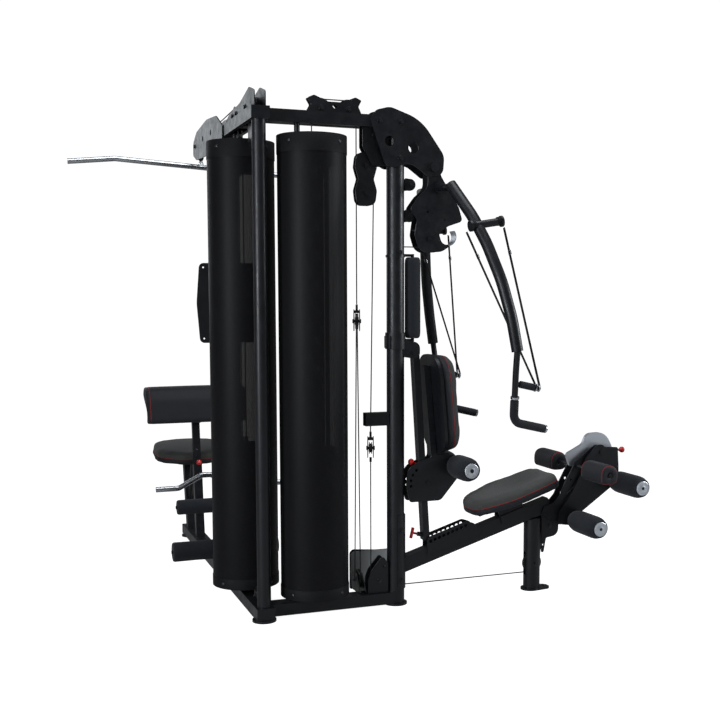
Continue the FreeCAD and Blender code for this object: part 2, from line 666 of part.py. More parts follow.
def cables():
    pitch = S.wheelPitch
    eyeTop = S.stackBase + (restPlates + liftPlates) * S.platePitch + S.headThick + 26
    left = blockWheels[0][0] - pitch
    upperBlock, lowerBlock = blockWheels
    cable("stack_cable_a", [(S.stackAX, eyeTop), topWheelsA[0] + (-pitch,), topWheelsA[1] + (-pitch,),
                            upperBlock + (pitch,), (upperBlock[0] + pitch, 2004)], onArmA)
    cable("block_cable", [(left, 1305.5), lowerBlock + (-pitch,), (stubX, 762.5)], onArmA)
    cable("leg_cable", [(stubX, 632), baseWheel + (baseWheelPitch,), legWheel + (legWheelPitch,),
                        benchWheel + (-pitch,), (1611, 578)], onArmA)
    cable("press_cable", [(676, pressWheel[1] + pressWheelPitch), pressWheel + (-pressWheelPitch,),
                          postWheel + (25,), (postWheel[0] - 25, 130)], onArmA)
    tip = topWheelsB[3][0] + pitch
    cable("lat_cable", [(S.stackBY, eyeTop), topWheelsB[2] + (-pitch,), topWheelsB[3] + (-pitch,),
                        (tip, 2018)], lambda a: Vector(latLine, a.x, a.y))
    cable("curl_cable", [(lowWheelB[0] + pitch, 470), lowWheelB + (-pitch,), cornerWheelB + (-pitch,),
                         topWheelsB[0] + (-pitch,), topWheelsB[1] + (-pitch,), (S.stackBY, eyeTop)],
          lambda a: Vector(curlLine, a.x, a.y))
    row = sweptRod("RowCable", [(405, 30, 122), (414.2, 22, 1265), (435.8, 78, 1265), (445, 72, 72),
                                (445, 176, 72)], [30, 30, pitch], "cableRadius")
    done("row_cable", row)


def guideWheels():
    acrossA = [(spot, S.wheelPitch) for spot in topWheelsA + (benchWheel,)]
    acrossA += [(guideSpots[0], 21), (guideSpots[1], 21), (baseWheel, baseWheelPitch),
                (legWheel, legWheelPitch)]
    wheels = [wheel(f"WheelA{i}", (x, yA, z), (0, 1, 0), pitch)
              for i, ((x, z), pitch) in enumerate(acrossA)]
    acrossB = [(spot, curlLine, S.wheelPitch) for spot in topWheelsB[:2] + (lowWheelB, cornerWheelB)]
    acrossB += [(topWheelsB[2], latLine, S.wheelPitch), (topWheelsB[3], latLine, S.wheelPitch),
                ((127, 1970), curlLine, 34), ((110, 110), 445, S.wheelPitch)]
    wheels += [wheel(f"WheelB{i}", (x, y, z), (1, 0, 0), pitch)
               for i, ((y, z), x, pitch) in enumerate(acrossB)]
    inner = turnedBody("PostWheel", [(3.05, -5), (29, -5), (29, -4), (22.3, -2.2), (22.3, 2.2), (29, 4),
                                     (29, 5), (3.05, 5)], (postWheel[0], yA, postWheel[1]), (0, 1, 0))
    done("guide_wheels", group("GuideWheels", *wheels, inner))


def movingWheels():
    for label, (x, z) in zip(("block_wheel_upper", "block_wheel_lower"), blockWheels):
        done(label, wheel(label + "Body", (x, yA, z), (0, 1, 0)))
    done("press_wheel", wheel("PressWheel", (pressWheel[0], yA, pressWheel[1]), (0, 1, 0), pressWheelPitch))


def floatingBlock():
    x, high = blockWheels[0]
    low = blockWheels[1][1]
    outline = [(x - 48, high - 10, 30), (x - 40, high + 52, 30), (x + 40, high + 52, 30),
               (x + 48, high - 10, 30), (x + 34, (high + low) / 2, 16), (x + 48, low + 10, 30),
               (x + 40, low - 52, 30), (x - 40, low - 52, 30), (x - 48, low + 10, 30),
               (x - 34, (high + low) / 2, 16)]
    near = padBody("BlockNear", "XZ_Plane", outline, yA - 17, 4, [(x, high, 6.05), (x, low, 6.05)])
    axles = [axle(f"BlockAxle{i}", (x, yA, z), (0, 1, 0), 17) for i, z in enumerate((high, low))]
    done("floating_block", group("FloatingBlock", near, mirrorArmA("BlockFar", near), *axles))


def swivelBlock(name, centre, half, turn, wheelPitch):
    """Two cheeks, a small wheel and the chrome eyes of a hanging pulley, turned about Z."""
    x, y, z = centre
    cheeks = []
    for i, side in enumerate((-1, 1)):
        cheek = padBody(f"{name}Cheek{i}", "XZ_Plane",
                        [(-24, half * 0.4, 18), (-16, half + 8, 12), (16, half + 8, 12),
                         (24, half * 0.4, 18), (24, -half * 0.4, 18), (16, -half, 12),
                         (-16, -half, 12), (-24, -half * 0.4, 18)],
                        side * 12 - 1.5, 3, [(0, 0, 6.05)])
        cheeks.append(cheek)
    sheave = wheel(name + "Wheel", (0, 0, 0), (0, 1, 0), wheelPitch, 6)
    bolt = axle(name + "Axle", (0, 0, 0), (0, 1, 0), 13.5)
    eye = rod(name + "Eye", 5, 26, (0, 0, half + 2))
    yoke = block(name + "Yoke", (-8, -10.5, half - 8), 16, 21, 12)
    parts = group(name + "Parts", *cheeks, sheave, bolt, fuse(name + "Hook", eye, yoke))
    parts.Placement = Placement(Vector(x, y, z), Rotation(up, turn))
    return parts


def swivelBlocks():
    row = swivelBlock("RowBlock", (425, yA, 1235), 42, 69, 30)
    stub = swivelBlock("StubBlock", (stubX, yA, 692), 42, 69, 22)
    tail = rod("StubTail", 5, 20, (stubX, yA, 632))
    done("swivel_blocks", group("SwivelBlocks", row, stub, tail))


# press station
pivot = (761, 1885)
handleRoute = [(958, 444, 1119), (962, 425, 1040), (972, 398, 950), (980, 372, 822), (1146, 341, 783)]
flyPeg = [(968, 404, 986), (1075, 404, 962)]
armRoute = [(785, 160, 1803), (838, 268, 1664), (872, 334, 1550), (906, 402, 1400), (936, 436, 1250),
            (958, 445, 1118)]


def pressPlates():
    outline = [(733, 1905, 24), (789, 1905, 24), (796, 1852, 30), (880, 1720, 30), (898, 1662, 16),
               (832, 1640, 24), (786, 1612, 20), (802, 1560, 30), (850, 1562, 20), (800, 1530, 60),
               (700, 1524, 50), (676, 1600, 30), (686, 1665, 16), (652, 1705, 26), (694, 1762, 60),
               (738, 1800, 80)]
    holes = [(pivot[0], pivot[1], 9.05), (735, 1698, 5), (814, 1665, 5),
             (pressWheel[0], pressWheel[1], 6.05)]
    near = padBody("PressPlateNear", "XZ_Plane", outline, yA - 32, 5, holes)
    far = mirrorArmA("PressPlateFar", near)
    bush = rod("PressBush", 15, 54, (pivot[0], yA - 27, pivot[1]), (0, 1, 0))
    shaft = rod("PressShaft", 9, 104, (pivot[0], yA - 52, pivot[1]), (0, 1, 0))
    caps = [rod(f"PressShaftCap{i}", 20, 7.5, (pivot[0], yA + y, pivot[1]), (0, 1, 0))
            for i, y in enumerate((-52.5, 45))]
    wheelAxle = axle("PressAxle", (pressWheel[0], yA, pressWheel[1]), (0, 1, 0), 32)
    spacers = [rod(f"PressSpacer{i}", 9, 54, (x, yA - 27, z), (0, 1, 0))
               for i, (x, z) in enumerate(((735, 1698), (826, 1690)))]
    done("press_plates", fuse("PressPlates", near, far, bush, shaft, *caps, wheelAxle, *spacers))


def armPoint(route, side):
    return [(x, yA + side * d, z) for x, d, z in route]


def pressArms():
    """The bent arms with their spool bars, and the lower handles with the fly pegs."""
    pieces = []
    for tag, side in (("Near", -1), ("Far", 1)):
        arm = sweptRod("PressArm" + tag, armPoint(armRoute, side), 420, "armTube")
        flange = rod("ArmFlange" + tag, 24, 8, (788, yA + side * 32, 1802), (0, side, 0))
        link = rodBetween("ArmLink" + tag, 15, *armPoint([(788, 36, 1802), (797, 185, 1790)], side))
        spool = rodBetween("Spool" + tag, 16, *armPoint([(816, 300, 1624), (951, 300, 1646)], side))
        flares = [rodBetween(f"SpoolFlare{tag}{i}", 23, *armPoint(ends, side))
                  for i, ends in enumerate((((810, 300, 1623), (820, 300, 1624.6)),
                                            ((947, 300, 1645.4), (957, 300, 1647))))]
        handle = sweptRod("Handle" + tag, armPoint(handleRoute, side), [400, 400, 50], "handleTube")
        peg = rodBetween("FlyPeg" + tag, 8, *armPoint(flyPeg, side))
        pieces.append(fuse("Arm" + tag, arm, flange, link, spool, *flares, handle, peg))
    done("press_arms", group("PressArms", *pieces))


def gripSleeve(name, points, bend, radius, bore):
    outer = sweptRod(name + "Outer", points, bend, radius)
    inner = sweptRod(name + "Inner", points, bend, bore)
    return cut(name, outer, inner)


def pressGrips():
    pieces = []
    for tag, side in (("Near", -1), ("Far", 1)):
        above, elbow, tip = (Vector(*point) for point in armPoint(handleRoute[-3:], side))
        route = [tuple(elbow + (above - elbow) * 0.72), tuple(elbow), tuple(elbow + (tip - elbow) * 0.94)]
        pieces.append(gripSleeve("Grip" + tag, route, 50, 18, 13.05))
        start, end = (Vector(*point) for point in armPoint(flyPeg, side))
        low, high = (tuple(start + (end - start) * share) for share in (0.2, 0.83))
        outer = rodBetween(f"FlyGrip{tag}Outer", 15, low, high)
        inner = rodBetween(f"FlyGrip{tag}Inner", 8.05, low, high)
        pieces.append(cut("FlyGrip" + tag, outer, inner))
    done("press_grips", group("PressGrips", *pieces))


def flyStraps():
    pieces = []
    for tag, side in (("Near", -1), ("Far", 1)):
        for i, (start, end) in enumerate((((969, 290, 1622), (1073, 418, 975)),
                                          ((812, 264, 1602), (1073, 384, 975)))):
            low, high = armPoint([start, end], side)
            pieces.append(flatStrap(f"Strap{tag}{i}", low, high))
    done("fly_straps", group("FlyStraps", *pieces))


def flatStrap(name, start, end):
    run = Vector(*end) - Vector(*start)
    strap = block(name, (0, 0, 0), 3, 20, run.Length)
    turn = turnTo(tuple(run))
    strap.Placement = Placement(Vector(*start) - turn.multVec(Vector(1.5, 10, 0)), turn)
    return strap


def headRoll():
    return turnedBody("HeadRoll", [(7.05, 0), (28, 0, 8), (34, 20, 20), (34, 326, 20), (28, 346, 8),
                                   (7.05, 346)], (rollX, yA, 1160))


def footRolls():
    return [turnedBody(f"FootRoll{z}{side}", [(8.05, 0), (radius - 4, 0, 4), (radius, 12, 8),
                                              (radius, length, 2), (8.05, length)],
                       (side * (length + 44), 770, z), (-side, 0, 0))
            for radius, length, z in ((35, 184, 352), (46, 208, 140)) for side in (-1, 1)]


def foamRolls():
    done("foam_rolls", group("FoamRolls", headRoll(), *footRolls()))


# back and bench
backPivot = (740, 528)
backRoller = (868, 600)
backPinWay = (-0.906, 0, 0.423)
tubeTop = (688, 1090)
tubeFoot = (738, 274)


def backFrame():
    lean = math.degrees(math.atan2(tubeFoot[0] - tubeTop[0], tubeTop[1] - tubeFoot[1]))
    turn = Rotation(alongY, -lean)
    length = math.hypot(tubeFoot[0] - tubeTop[0], tubeTop[1] - tubeFoot[1])
    corner = Vector(tubeFoot[0], yA - 22, tubeFoot[1]) - turn.multVec(Vector(14, 0, 0))
    tube = boxTube("BackTube", tuple(corner), 28, 44, length, 2.5, "Height", turn)
    eye = rod("BackEye", 16, 44, (framePivot[0], yA - 22, framePivot[1]), (0, 1, 0))
    eyeBore = rod("BackEyeBore", 7.05, 44, (framePivot[0], yA - 22, framePivot[1]), (0, 1, 0))
    lug = padBody("BackLug", "XZ_Plane",
                  [(700, 560, 4), (756, 546, 18), (756, 510, 18), (700, 496, 4)], yA - 22, 44,
                  [(backPivot[0], backPivot[1], 7.05)])
    rackHolder = rod("RackHolder", 10, 26, (727, yA, 295), (-0.97, 0, 0.24))
    lugBore = rod("BackLugBore", 7.05, 60, (backPivot[0], yA - 30, backPivot[1]), (0, 1, 0))
    pinBore = rod("BackPinBore", 5.05, 30, (716, yA, 601), backPinWay)
    frame = fuse("BackFrame", tube, eye, lug, rackHolder)
    done("back_frame", cut("BackFrameBored", frame, eyeBore, lugBore, pinBore))
    stem = rod("BackPinStem", 5, 34, (710, yA, 603.8), backPinWay)
    ball = ballKnob("BackPinBall", tuple(Vector(710, yA, 603.8) + Vector(*backPinWay).normalize() * 30),
                    backPinWay)
    done("back_pin", fuse("BackPin", stem, ball))
    knob = [rod("RackPin", 5, 26, (700, yA, 301.5), (-0.97, 0, 0.24)),
            rodBetween("RackBar", 7, (670, yA, 284), (681, yA, 330))]
    done("rack_pin", fuse("RackPinTee", *knob))


def backrest():
    outline = [(655, 448, 14), (800, 448, 30), (896, 560, 30), (900, 620, 26), (858, 648, 16),
               (783, 648, 8), (777, 700, 6), (758, 700, 6), (757, 640, 14), (710, 628, 20),
               (645, 600, 60), (638, 520, 60)]
    holes = [(backPivot[0], backPivot[1], 7.05)]
    for angle in (132, 151, 169, 187):
        holes.append((backPivot[0] + 80 * math.cos(math.radians(angle)),
                      backPivot[1] + 80 * math.sin(math.radians(angle)), 6.5))
    near = padBody("QuadrantNear", "XZ_Plane", outline, yA - 28, 5, holes)
    far = mirrorArmA("QuadrantFar", near)
    pin = axle("QuadrantPin", (backPivot[0], yA, backPivot[1]), (0, 1, 0), 28, 7)
    lean = Rotation(alongY, -5)
    rail = boxTube("BackRail", (758, yA - 23, 640), 26, 46, 400, 2.5, "Height", lean)
    shaft = rod("BackRollerShaft", 9, 420, (backRoller[0], yA - 210, backRoller[1]), (0, 1, 0))
    board = padBody("BackBoard", "YZ_Plane", backOutline(), 0, 14)
    board.Placement = Placement(Vector(785, 0, 660), lean)
    frame = fuse("Quadrants", near, far, rail, shaft)
    done("backrest_frame", group("BackrestFrame", frame, board, pin))
    foam = padBody("BackFoam", "YZ_Plane", backOutline(), 14.3, 66)
    foam.Placement = Placement(Vector(785, 0, 660), lean)
    done("backrest_pad", foam)


def backOutline():
    return [(yA - 128, 0, 90), (yA - 128, 430, 100), (yA + 128, 430, 100), (yA + 128, 0, 90)]


def backRollers():
    pieces = [foamRoller("BackRollerNear", (backRoller[0], yA - 204, backRoller[1]),
                         (backRoller[0], yA - 30, backRoller[1]), 52, 9.05)]
    pieces.append(mirrorArmA("BackRollerFar", pieces[0]))
    done("back_roller", group("BackRollers", *pieces))


def benchFrame():
    turn = Rotation(alongY, -S.benchSlope)
    start = benchPoint(628, 0, yA - 25)
    tube = boxTube("BenchTube", start, (1352 - 628) / math.cos(math.radians(S.benchSlope)),
                   "benchWide", "benchTall", 3, "Length", turn)
    sleeve = rod("BenchSleeve", 43, 324, (S.pressX, yA, 72))
    sleeveBack = block("BenchSleeveBack", (S.pressX - 50, yA - 50, 60), 46, 100, 350)
    bore = rod("BenchSleeveBore", "postRadius + 0.05", 400, (S.pressX, yA, 50))
    slot = rod("BenchSleeveHole", 7, 80, (S.pressX, yA, lowRunZ), (1, 0, 0))
    saddle = padBody("SaddleNear", "XZ_Plane",
                     [(738, 208, 4), (738, 287, 14), (926, 346, 20), (962, 334, 20), (992, 302, 8),
                      (992, 282, 4)],
                     yA - 30, 5, [(753 + 21 * i, 269 + 7.1 * i, 8) for i in range(9)])
    saddleFar = mirrorArmA("SaddleFar", saddle)
    hook = padBody("EndPlateNear", "XZ_Plane",
                   [(1300, 352, 6), (1352, 318, 20), (1400, 333, 40), (1426, 440, 50), (1504, 522, 60),
                    (1632, 592, 26), (1628, 656, 26), (1572, 656, 26), (1472, 584, 24), (1412, 478, 50),
                    (1392, 430, 40), (1360, 396, 20), (1310, 385, 10)],
                   yA - 31, 6.05, [(legPivot[0], legPivot[1], 8.05), (1450, 500, 6)])
    hookFar = mirrorArmA("EndPlateFar", hook)
    kneeBars = [rod(f"KneeBar{side}", 9, 295, (kneeSpot[0], yA + side * 25, kneeSpot[1]), (0, side, 0))
                for side in (-1, 1)]
    crossing = [rod(f"SleeveBore{i}", 5.05, 100, (x, yA - 50, z), (0, 1, 0))
                for i, (x, z) in enumerate(sleeveBolts)]
    parts = fuse("BenchParts", tube, sleeve, saddle, saddleFar, hook, hookFar, *kneeBars)
    done("bench_frame", cut("BenchFrame", parts, sleeveBack, bore, slot, *crossing))


legPivot = (1598, 625)
kneeSpot = (1480, 562)


def kneePads():
    outline = [(kneeSpot[0] - 46, kneeSpot[1] - 38, 10), (kneeSpot[0] - 46, kneeSpot[1] + 46, 44),
               (kneeSpot[0] + 46, kneeSpot[1] + 46, 44), (kneeSpot[0] + 46, kneeSpot[1] - 46, 44),
               (kneeSpot[0] - 20, kneeSpot[1] - 46, 10)]
    near = padBody("KneePadNear", "XZ_Plane", outline, yA - 320, 190, [(kneeSpot[0], kneeSpot[1], 9.05)])
    done("knee_pads", group("KneePads", near, mirrorArmA("KneePadFar", near)))


def seatCarriage():
    """A channel that clips over the bench tube, two webs and the plate under the seat."""
    turn = Rotation(alongY, -S.benchSlope)
    outer = block("CarriageOuter", benchPoint(1110, 36, yA - 31), 124, 62, 34, turn)
    inner = block("CarriageInner", benchPoint(1100, 30, yA - 25.3), 150, 50.6, 35.3, turn)
    webs = [block(f"CarriageWeb{i}", benchPoint(1110, 69, y), 124, 6, 49, turn)
            for i, y in enumerate((yA - 25, yA + 19))]
    plate = block("CarriagePlate", benchPoint(1010, 117, yA - 60), 300, 120, 5, turn)
    done("seat_carriage", fuse("SeatCarriage", cut("CarriageSleeve", outer, inner), *webs, plate))
    seat = padBody("SeatPad", "XY_Plane",
                   [(-218, -95, 90), (-40, -160, 200), (218, -130, 60), (218, 130, 60), (-40, 160, 200),
                    (-218, 95, 90)], 0, 62)
    seat.Placement = Placement(Vector(*benchPoint(1190, 122.3)), turn)
    done("seat_pad", seat)


# leg station
upperRoller = (1673, 486)
lowerRoller = (1460, 317)


def legArm():
    outline = [(1576, 660, 24), (1620, 646, 20), (1686, 642, 8), (1692, 556, 12), (1694, 470, 22),
               (1652, 456, 20), (1500, 352, 30), (1452, 290, 22), (1386, 300, 18), (1380, 352, 16),
               (1440, 430, 40), (1500, 540, 24), (1516, 596, 30)]
    holes = [(legPivot[0], legPivot[1], 8.05)]
    near = padBody("LegPlateNear", "XZ_Plane", outline, yA - 46, 6, holes)
    far = mirrorArmA("LegPlateFar", near)
    shafts = [rod(f"LegShaft{i}", 9, 560, (x, yA - 280, z), (0, 1, 0))
              for i, (x, z) in enumerate((upperRoller, lowerRoller))]
    spacer = rod("LegSpacer", 12, 80, (1668, yA - 40, 560), (0, 1, 0))
    pin = axle("LegPivotPin", (legPivot[0], yA, legPivot[1]), (0, 1, 0), 46, 8)
    done("leg_arm", group("LegArm", fuse("LegPlates", near, far, *shafts, spacer), pin))
    cam = padBody("LegCam", "XZ_Plane",
                  [(1520, 660, 30), (1540, 708, 60), (1640, 712, 78), (1684, 630, 60), (1660, 588, 30),
                   (1600, 582, 30), (1530, 580, 30), (1456, 556, 12), (1434, 618, 14), (1480, 640, 20)],
                  yA - 8, 16, [(legPivot[0], legPivot[1], 8.05)])
    notch = rod("LegCamNotch", 5.05, 60, (1655, yA, 622), (1, 0, 0))
    done("leg_cam", cut("LegCamBored", cam, notch))
    stem = rod("LegPinStem", 5, 70, (1660, yA, 622), (1, 0, 0))
    ball = ballKnob("LegPinBall", (1724, yA, 622), (1, 0, 0))
    done("leg_pin", fuse("LegPin", stem, ball))


def legRollers():
    for label, (x, z) in (("leg_roller_upper", upperRoller), ("leg_roller_lower", lowerRoller)):
        near = foamRoller(label + "Near", (x, yA - 276, z), (x, yA - 52, z), S.rollerRadius, 9.05)
        done(label, group(label + "Pair", near, mirrorArmA(label + "Far", near)))


# lat station
holdLean = Rotation(alongX, -8)
holdFoot = (1425, 39)
holdPin = Vector(0, 1505, 450)
pinWay = holdLean.multVec(Vector(0, -1, 0))


latTilt = 7


def latFrame():
    """The leaning hold-down socket and the leaning seat post, both cut off at the beam."""
    socket = boxTube("HoldSocket", (-22, *holdFoot), 44, 44, 430, 3, "Height", holdLean)
    seatPost = boxTube("SeatPost", (-25, 1680, holdFoot[1]), 50, 50, 460, 3, "Height",
                       Rotation(alongX, -15))
    brace = rodBetween("SeatBrace", 12, (0, 1745, 200), (0, 1630, 441))
    below = block("LatTrimLow", (-100, 1300, baseTop - 100), 200, 700, 100)
    above = block("LatTrimHigh", (-100, 1560, 421), 200, 440, 100, Rotation(alongX, latTilt))
    seatPlate = block("SeatPlate", (-60, 1600, 426.7), 120, 270, 6, Rotation(alongX, latTilt))
    knobBore = rod("KnobBore", 5.05, 60, tuple(holdPin + pinWay * 48), tuple(pinWay * -1))
    posts = cut("LatTrimmed", fuse("LatPosts", seatPost, brace), below, above)
    socketCut = cut("SocketTrimmed", socket, block("SocketTrim", (-100, 1300, baseTop - 100), 200, 700, 100),
                    knobBore)
    return group("LatFrame", fuse("LatSeatPost", posts, seatPlate), socketCut)


def latStation():
    done("lat_seat_frame", latFrame())
    seat = padBody("LatSeat", "XY_Plane",
                   [(-70, -196, 60), (-205, -120, 110), (-195, 150, 110), (-60, 196, 110), (60, 196, 110),
                    (195, 150, 110), (205, -120, 110), (70, -196, 60)], 0, 62)
    seat.Placement = Placement(Vector(0, 1738, 450.3), Rotation(alongX, latTilt))
    done("lat_seat_pad", seat)
    foot = Vector(-18.7, *holdFoot) + holdLean.multVec(Vector(0, 3.3, 150))
    slider = block("HoldSlider", tuple(foot), 37.4, 37.4, 500, holdLean)
    arm = block("HoldArm", (-22, 1503, 664), 44, 70, 34)
    rise = holdLean.multVec(up)
    notches = [rod(f"HoldHole{i}", 6, 44, tuple(holdPin + pinWay * 22 + rise * (i * 36)), tuple(pinWay * -1))
               for i in range(-3, 3)]
    done("hold_down_post", cut("HoldDownBored", fuse("HoldDownPost", slider, arm), *notches))
    pad = padBody("PreacherPad", "YZ_Plane",
                  [(1430, 668, 12), (1452, 800, 30), (1490, 862, 50), (1600, 866, 40), (1622, 812, 30),
                   (1560, 770, 40), (1502, 726, 30), (1494, 668, 12)], -270, 540)
    done("preacher_pad", pad)
    start = tuple(holdPin + pinWay * 48)
    stem = rod("HoldKnobStem", 5, 29, start, tuple(pinWay * -1))
    done("hold_down_knob", fuse("HoldKnob", stem, ballKnob("HoldKnobBall", start, tuple(pinWay))))


def latBar():
    tilt = 3.4
    points = [(-640, 0, -36), (-420, 0, 0), (420, 0, 0), (640, 0, -36)]
    bar = sweptRod("LatBarRod", points, 60, "barRadius")
    lug = rod("LatBarLug", 6, 22, (0, 0, 10))
    whole = fuse("LatBar", bar, lug)
    whole.Placement = Placement(Vector(latLine, topWheelsB[3][0] + S.wheelPitch, 1984),
                                Rotation(alongY, tilt))
    done("lat_bar", whole)


def curlBar():
    y = lowWheelB[0] + S.wheelPitch
    profile = [(318, 424), (212, 424), (100, 482), (60, 482)]
    points = [(curlLine - x, y, z) for x, z in profile] + [(curlLine, y, 464)]
    points += [(curlLine + x, y, z) for x, z in reversed(profile)]
    bar = sweptRod("CurlBarRod", points, [40, 40, 30, 60, 30, 40, 40], "barRadius")
    done("curl_bar", cut("CurlBarBored", bar, rod("CurlBarBore", 2.55, 60, (curlLine, y, 440))))


def placard():
    plate = padBody("Placard", "XZ_Plane",
                    [(-136, 1130, 22), (-150, 1310, 200), (-136, 1490, 22), (136, 1490, 22),
                     (150, 1310, 200), (136, 1130, 22)], 600, "thinPlate",
                    [(x, z, 4) for x in (-118, 118) for z in (1150, 1470)])
    done("placard", plate)


baseFrame()
topFrame()
posts()
gussets()
pulleyBrackets()
latBoom()
frameBolts()
shroud("shroud_a", S.stackAX, yA, 60)
shroud("shroud_b", 0, S.stackBY, 30)
stackEnds()
guideRods()
weightPlates()
stackHead("stack_head_a", "A", S.stackAX, yA, (0,))
stackHead("stack_head_b", "B", 0, S.stackBY, (-9, 9))
selectorPin("selector_pin_a", S.stackAX, yA)
selectorPin("selector_pin_b", 0, S.stackBY)
cables()
guideWheels()
movingWheels()
floatingBlock()
swivelBlocks()
pressPlates()
pressArms()
pressGrips()
flyStraps()
foamRolls()
backFrame()
backrest()
backRollers()
benchFrame()
kneePads()
seatCarriage()
legArm()
legRollers()
latStation()
latBar()
curlBar()
placard()

doc.recompute()
for item in doc.Objects:
    if "Invalid" in item.State or "Error" in item.State:
        raise RuntimeError(f"{item.Name} did not build")
os.makedirs("parts", exist_ok=True)
for item in nodes:
    if item.Shape.isNull() or not item.Shape.isValid() or not item.Shape.Solids:
        raise RuntimeError(f"{item.Label} has no sound shape")
    item.Shape.exportStep(f"parts/{item.Label}.step")
print(len(nodes), "nodes written")
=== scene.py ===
import json
import math

import bmesh
import bpy
from mathutils import Matrix, Vector


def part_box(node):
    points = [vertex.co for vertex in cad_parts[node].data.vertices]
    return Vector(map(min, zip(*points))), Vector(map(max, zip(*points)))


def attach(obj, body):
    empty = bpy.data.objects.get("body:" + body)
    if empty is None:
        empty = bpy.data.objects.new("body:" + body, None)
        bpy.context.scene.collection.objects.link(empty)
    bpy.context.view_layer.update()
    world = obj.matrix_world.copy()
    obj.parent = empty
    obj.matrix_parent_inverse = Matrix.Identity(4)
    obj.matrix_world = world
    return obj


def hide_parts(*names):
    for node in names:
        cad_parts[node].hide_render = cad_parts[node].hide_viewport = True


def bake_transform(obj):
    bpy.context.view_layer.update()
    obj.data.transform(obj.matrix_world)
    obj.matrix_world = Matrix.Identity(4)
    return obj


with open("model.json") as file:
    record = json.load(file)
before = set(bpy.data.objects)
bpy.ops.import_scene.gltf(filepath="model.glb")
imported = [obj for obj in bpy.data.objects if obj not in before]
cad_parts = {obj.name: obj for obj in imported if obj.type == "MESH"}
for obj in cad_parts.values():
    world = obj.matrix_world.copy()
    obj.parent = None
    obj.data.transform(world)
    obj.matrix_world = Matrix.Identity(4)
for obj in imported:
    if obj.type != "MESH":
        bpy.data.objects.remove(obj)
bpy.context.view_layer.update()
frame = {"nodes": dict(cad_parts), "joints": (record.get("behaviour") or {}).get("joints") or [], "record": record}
nodes = frame["nodes"]
record = frame["record"]
slots = {part["node"]: part["material_slot"] for part in record["subparts"]}
bodyOf = {node: body for body, members in record["behaviour"]["bodies"].items() for node in members}
joints = {joint["name"]: joint for joint in frame["joints"]}
armY = 0.05  # centre plane of the press and bench arm
print("frame loaded")


def setStage():
    scene = bpy.context.scene
    camera = bpy.data.objects.new("camera", bpy.data.cameras.new("camera"))
    camera.location = (-1.0297, -4.3045, 1.3289)
    camera.rotation_euler = (math.radians(90 - 5.137), 0, math.radians(-21.089))
    camera.data.lens = 54.15
    camera.data.shift_x = -0.0644
    camera.data.shift_y = 0.0503
    scene.collection.objects.link(camera)
    scene.camera = camera
    scene.view_settings.view_transform = "Standard"

    world = bpy.data.worlds.new("studio")
    world.use_nodes = True
    tree = world.node_tree
    background = tree.nodes["Background"]
    seen = tree.nodes.new("ShaderNodeLightPath")
    strength = tree.nodes.new("ShaderNodeMapRange")
    strength.inputs["To Min"].default_value = 0.12
    strength.inputs["To Max"].default_value = 1.05
    tree.links.new(seen.outputs["Is Camera Ray"], strength.inputs["Value"])
    tree.links.new(strength.outputs["Result"], background.inputs["Strength"])
    background.inputs["Color"].default_value = (1, 1, 1, 1)
    scene.world = world

    lamps = {
        "overheadPanel": ((0.6, -0.4, 4.6), (0, 0, 0), 2.6, 130),
        "leftPanel": ((-4.0, -2.2, 1.7), (0, -84, -28), 1.3, 260),
        "frontPanel": ((-3.4, -5.4, 3.4), (66, 0, -34), 2.2, 45),
        "rightPanel": ((4.6, -1.4, 2.0), (0, 78, -12), 1.2, 100),
        "rearPanel": ((-1.6, 5.2, 2.6), (-75, 0, -8), 2.6, 36),
    }
    for name, (place, turn, size, power) in lamps.items():
        data = bpy.data.lights.new(name, "AREA")
        data.shape = "SQUARE"
        data.size = size
        data.energy = power
        data.color = (0.90, 0.95, 1.0)
        lamp = bpy.data.objects.new(name, data)
        lamp.location = place
        lamp.rotation_euler = [math.radians(angle) for angle in turn]
        scene.collection.objects.link(lamp)

    mesh = bpy.data.meshes.new("floor")
    bm = bmesh.new()
    bmesh.ops.create_grid(bm, x_segments=1, y_segments=1, size=14)
    bm.to_mesh(mesh)
    bm.free()
    floor = bpy.data.objects.new("floor", mesh)
    scene.collection.objects.link(floor)
    pale = bpy.data.materials.new("paleFloor")
    pale.use_nodes = True
    shader = pale.node_tree.nodes["Principled BSDF"]
    shader.inputs["Base Color"].default_value = (0.32, 0.32, 0.32, 1)
    glow = pale.node_tree.nodes.new("ShaderNodeMix")
    glow.data_type = "RGBA"
    glow.inputs[6].default_value = (0.12, 0.12, 0.12, 1)
    glow.inputs[7].default_value = (1, 1, 1, 1)
    path = pale.node_tree.nodes.new("ShaderNodeLightPath")
    pale.node_tree.links.new(path.outputs["Is Camera Ray"], glow.inputs[0])
    pale.node_tree.links.new(glow.outputs[2], shader.inputs["Emission Color"])
    shader.inputs["Emission Strength"].default_value = 0.97
    shader.inputs["Roughness"].default_value = 0.7
    shader.inputs["Specular IOR Level"].default_value = 0.2
    mesh.materials.append(pale)


class Value:
    def __init__(self, tree, socket):
        self.tree = tree
        self.socket = socket

    def math(self, operation, *others, clamp=False):
        node = self.tree.nodes.new("ShaderNodeMath")
        node.operation = operation
        node.use_clamp = clamp
        for place, value in enumerate((self, *others)):
            if isinstance(value, Value):
                self.tree.links.new(value.socket, node.inputs[place])
            else:
                node.inputs[place].default_value = value
        return Value(self.tree, node.outputs[0])

    def __add__(self, other):
        return self.math("ADD", other)

    __radd__ = __add__

    def __mul__(self, other):
        return self.math("MULTIPLY", other)

    __rmul__ = __mul__

    def __sub__(self, other):
        return self.math("SUBTRACT", other)

    def __rsub__(self, other):
        return (self * -1) + other

    def __truediv__(self, other):
        return self.math("DIVIDE", other)

    def __gt__(self, other):
        return self.math("GREATER_THAN", other)

    def __lt__(self, other):
        return self.math("LESS_THAN", other)


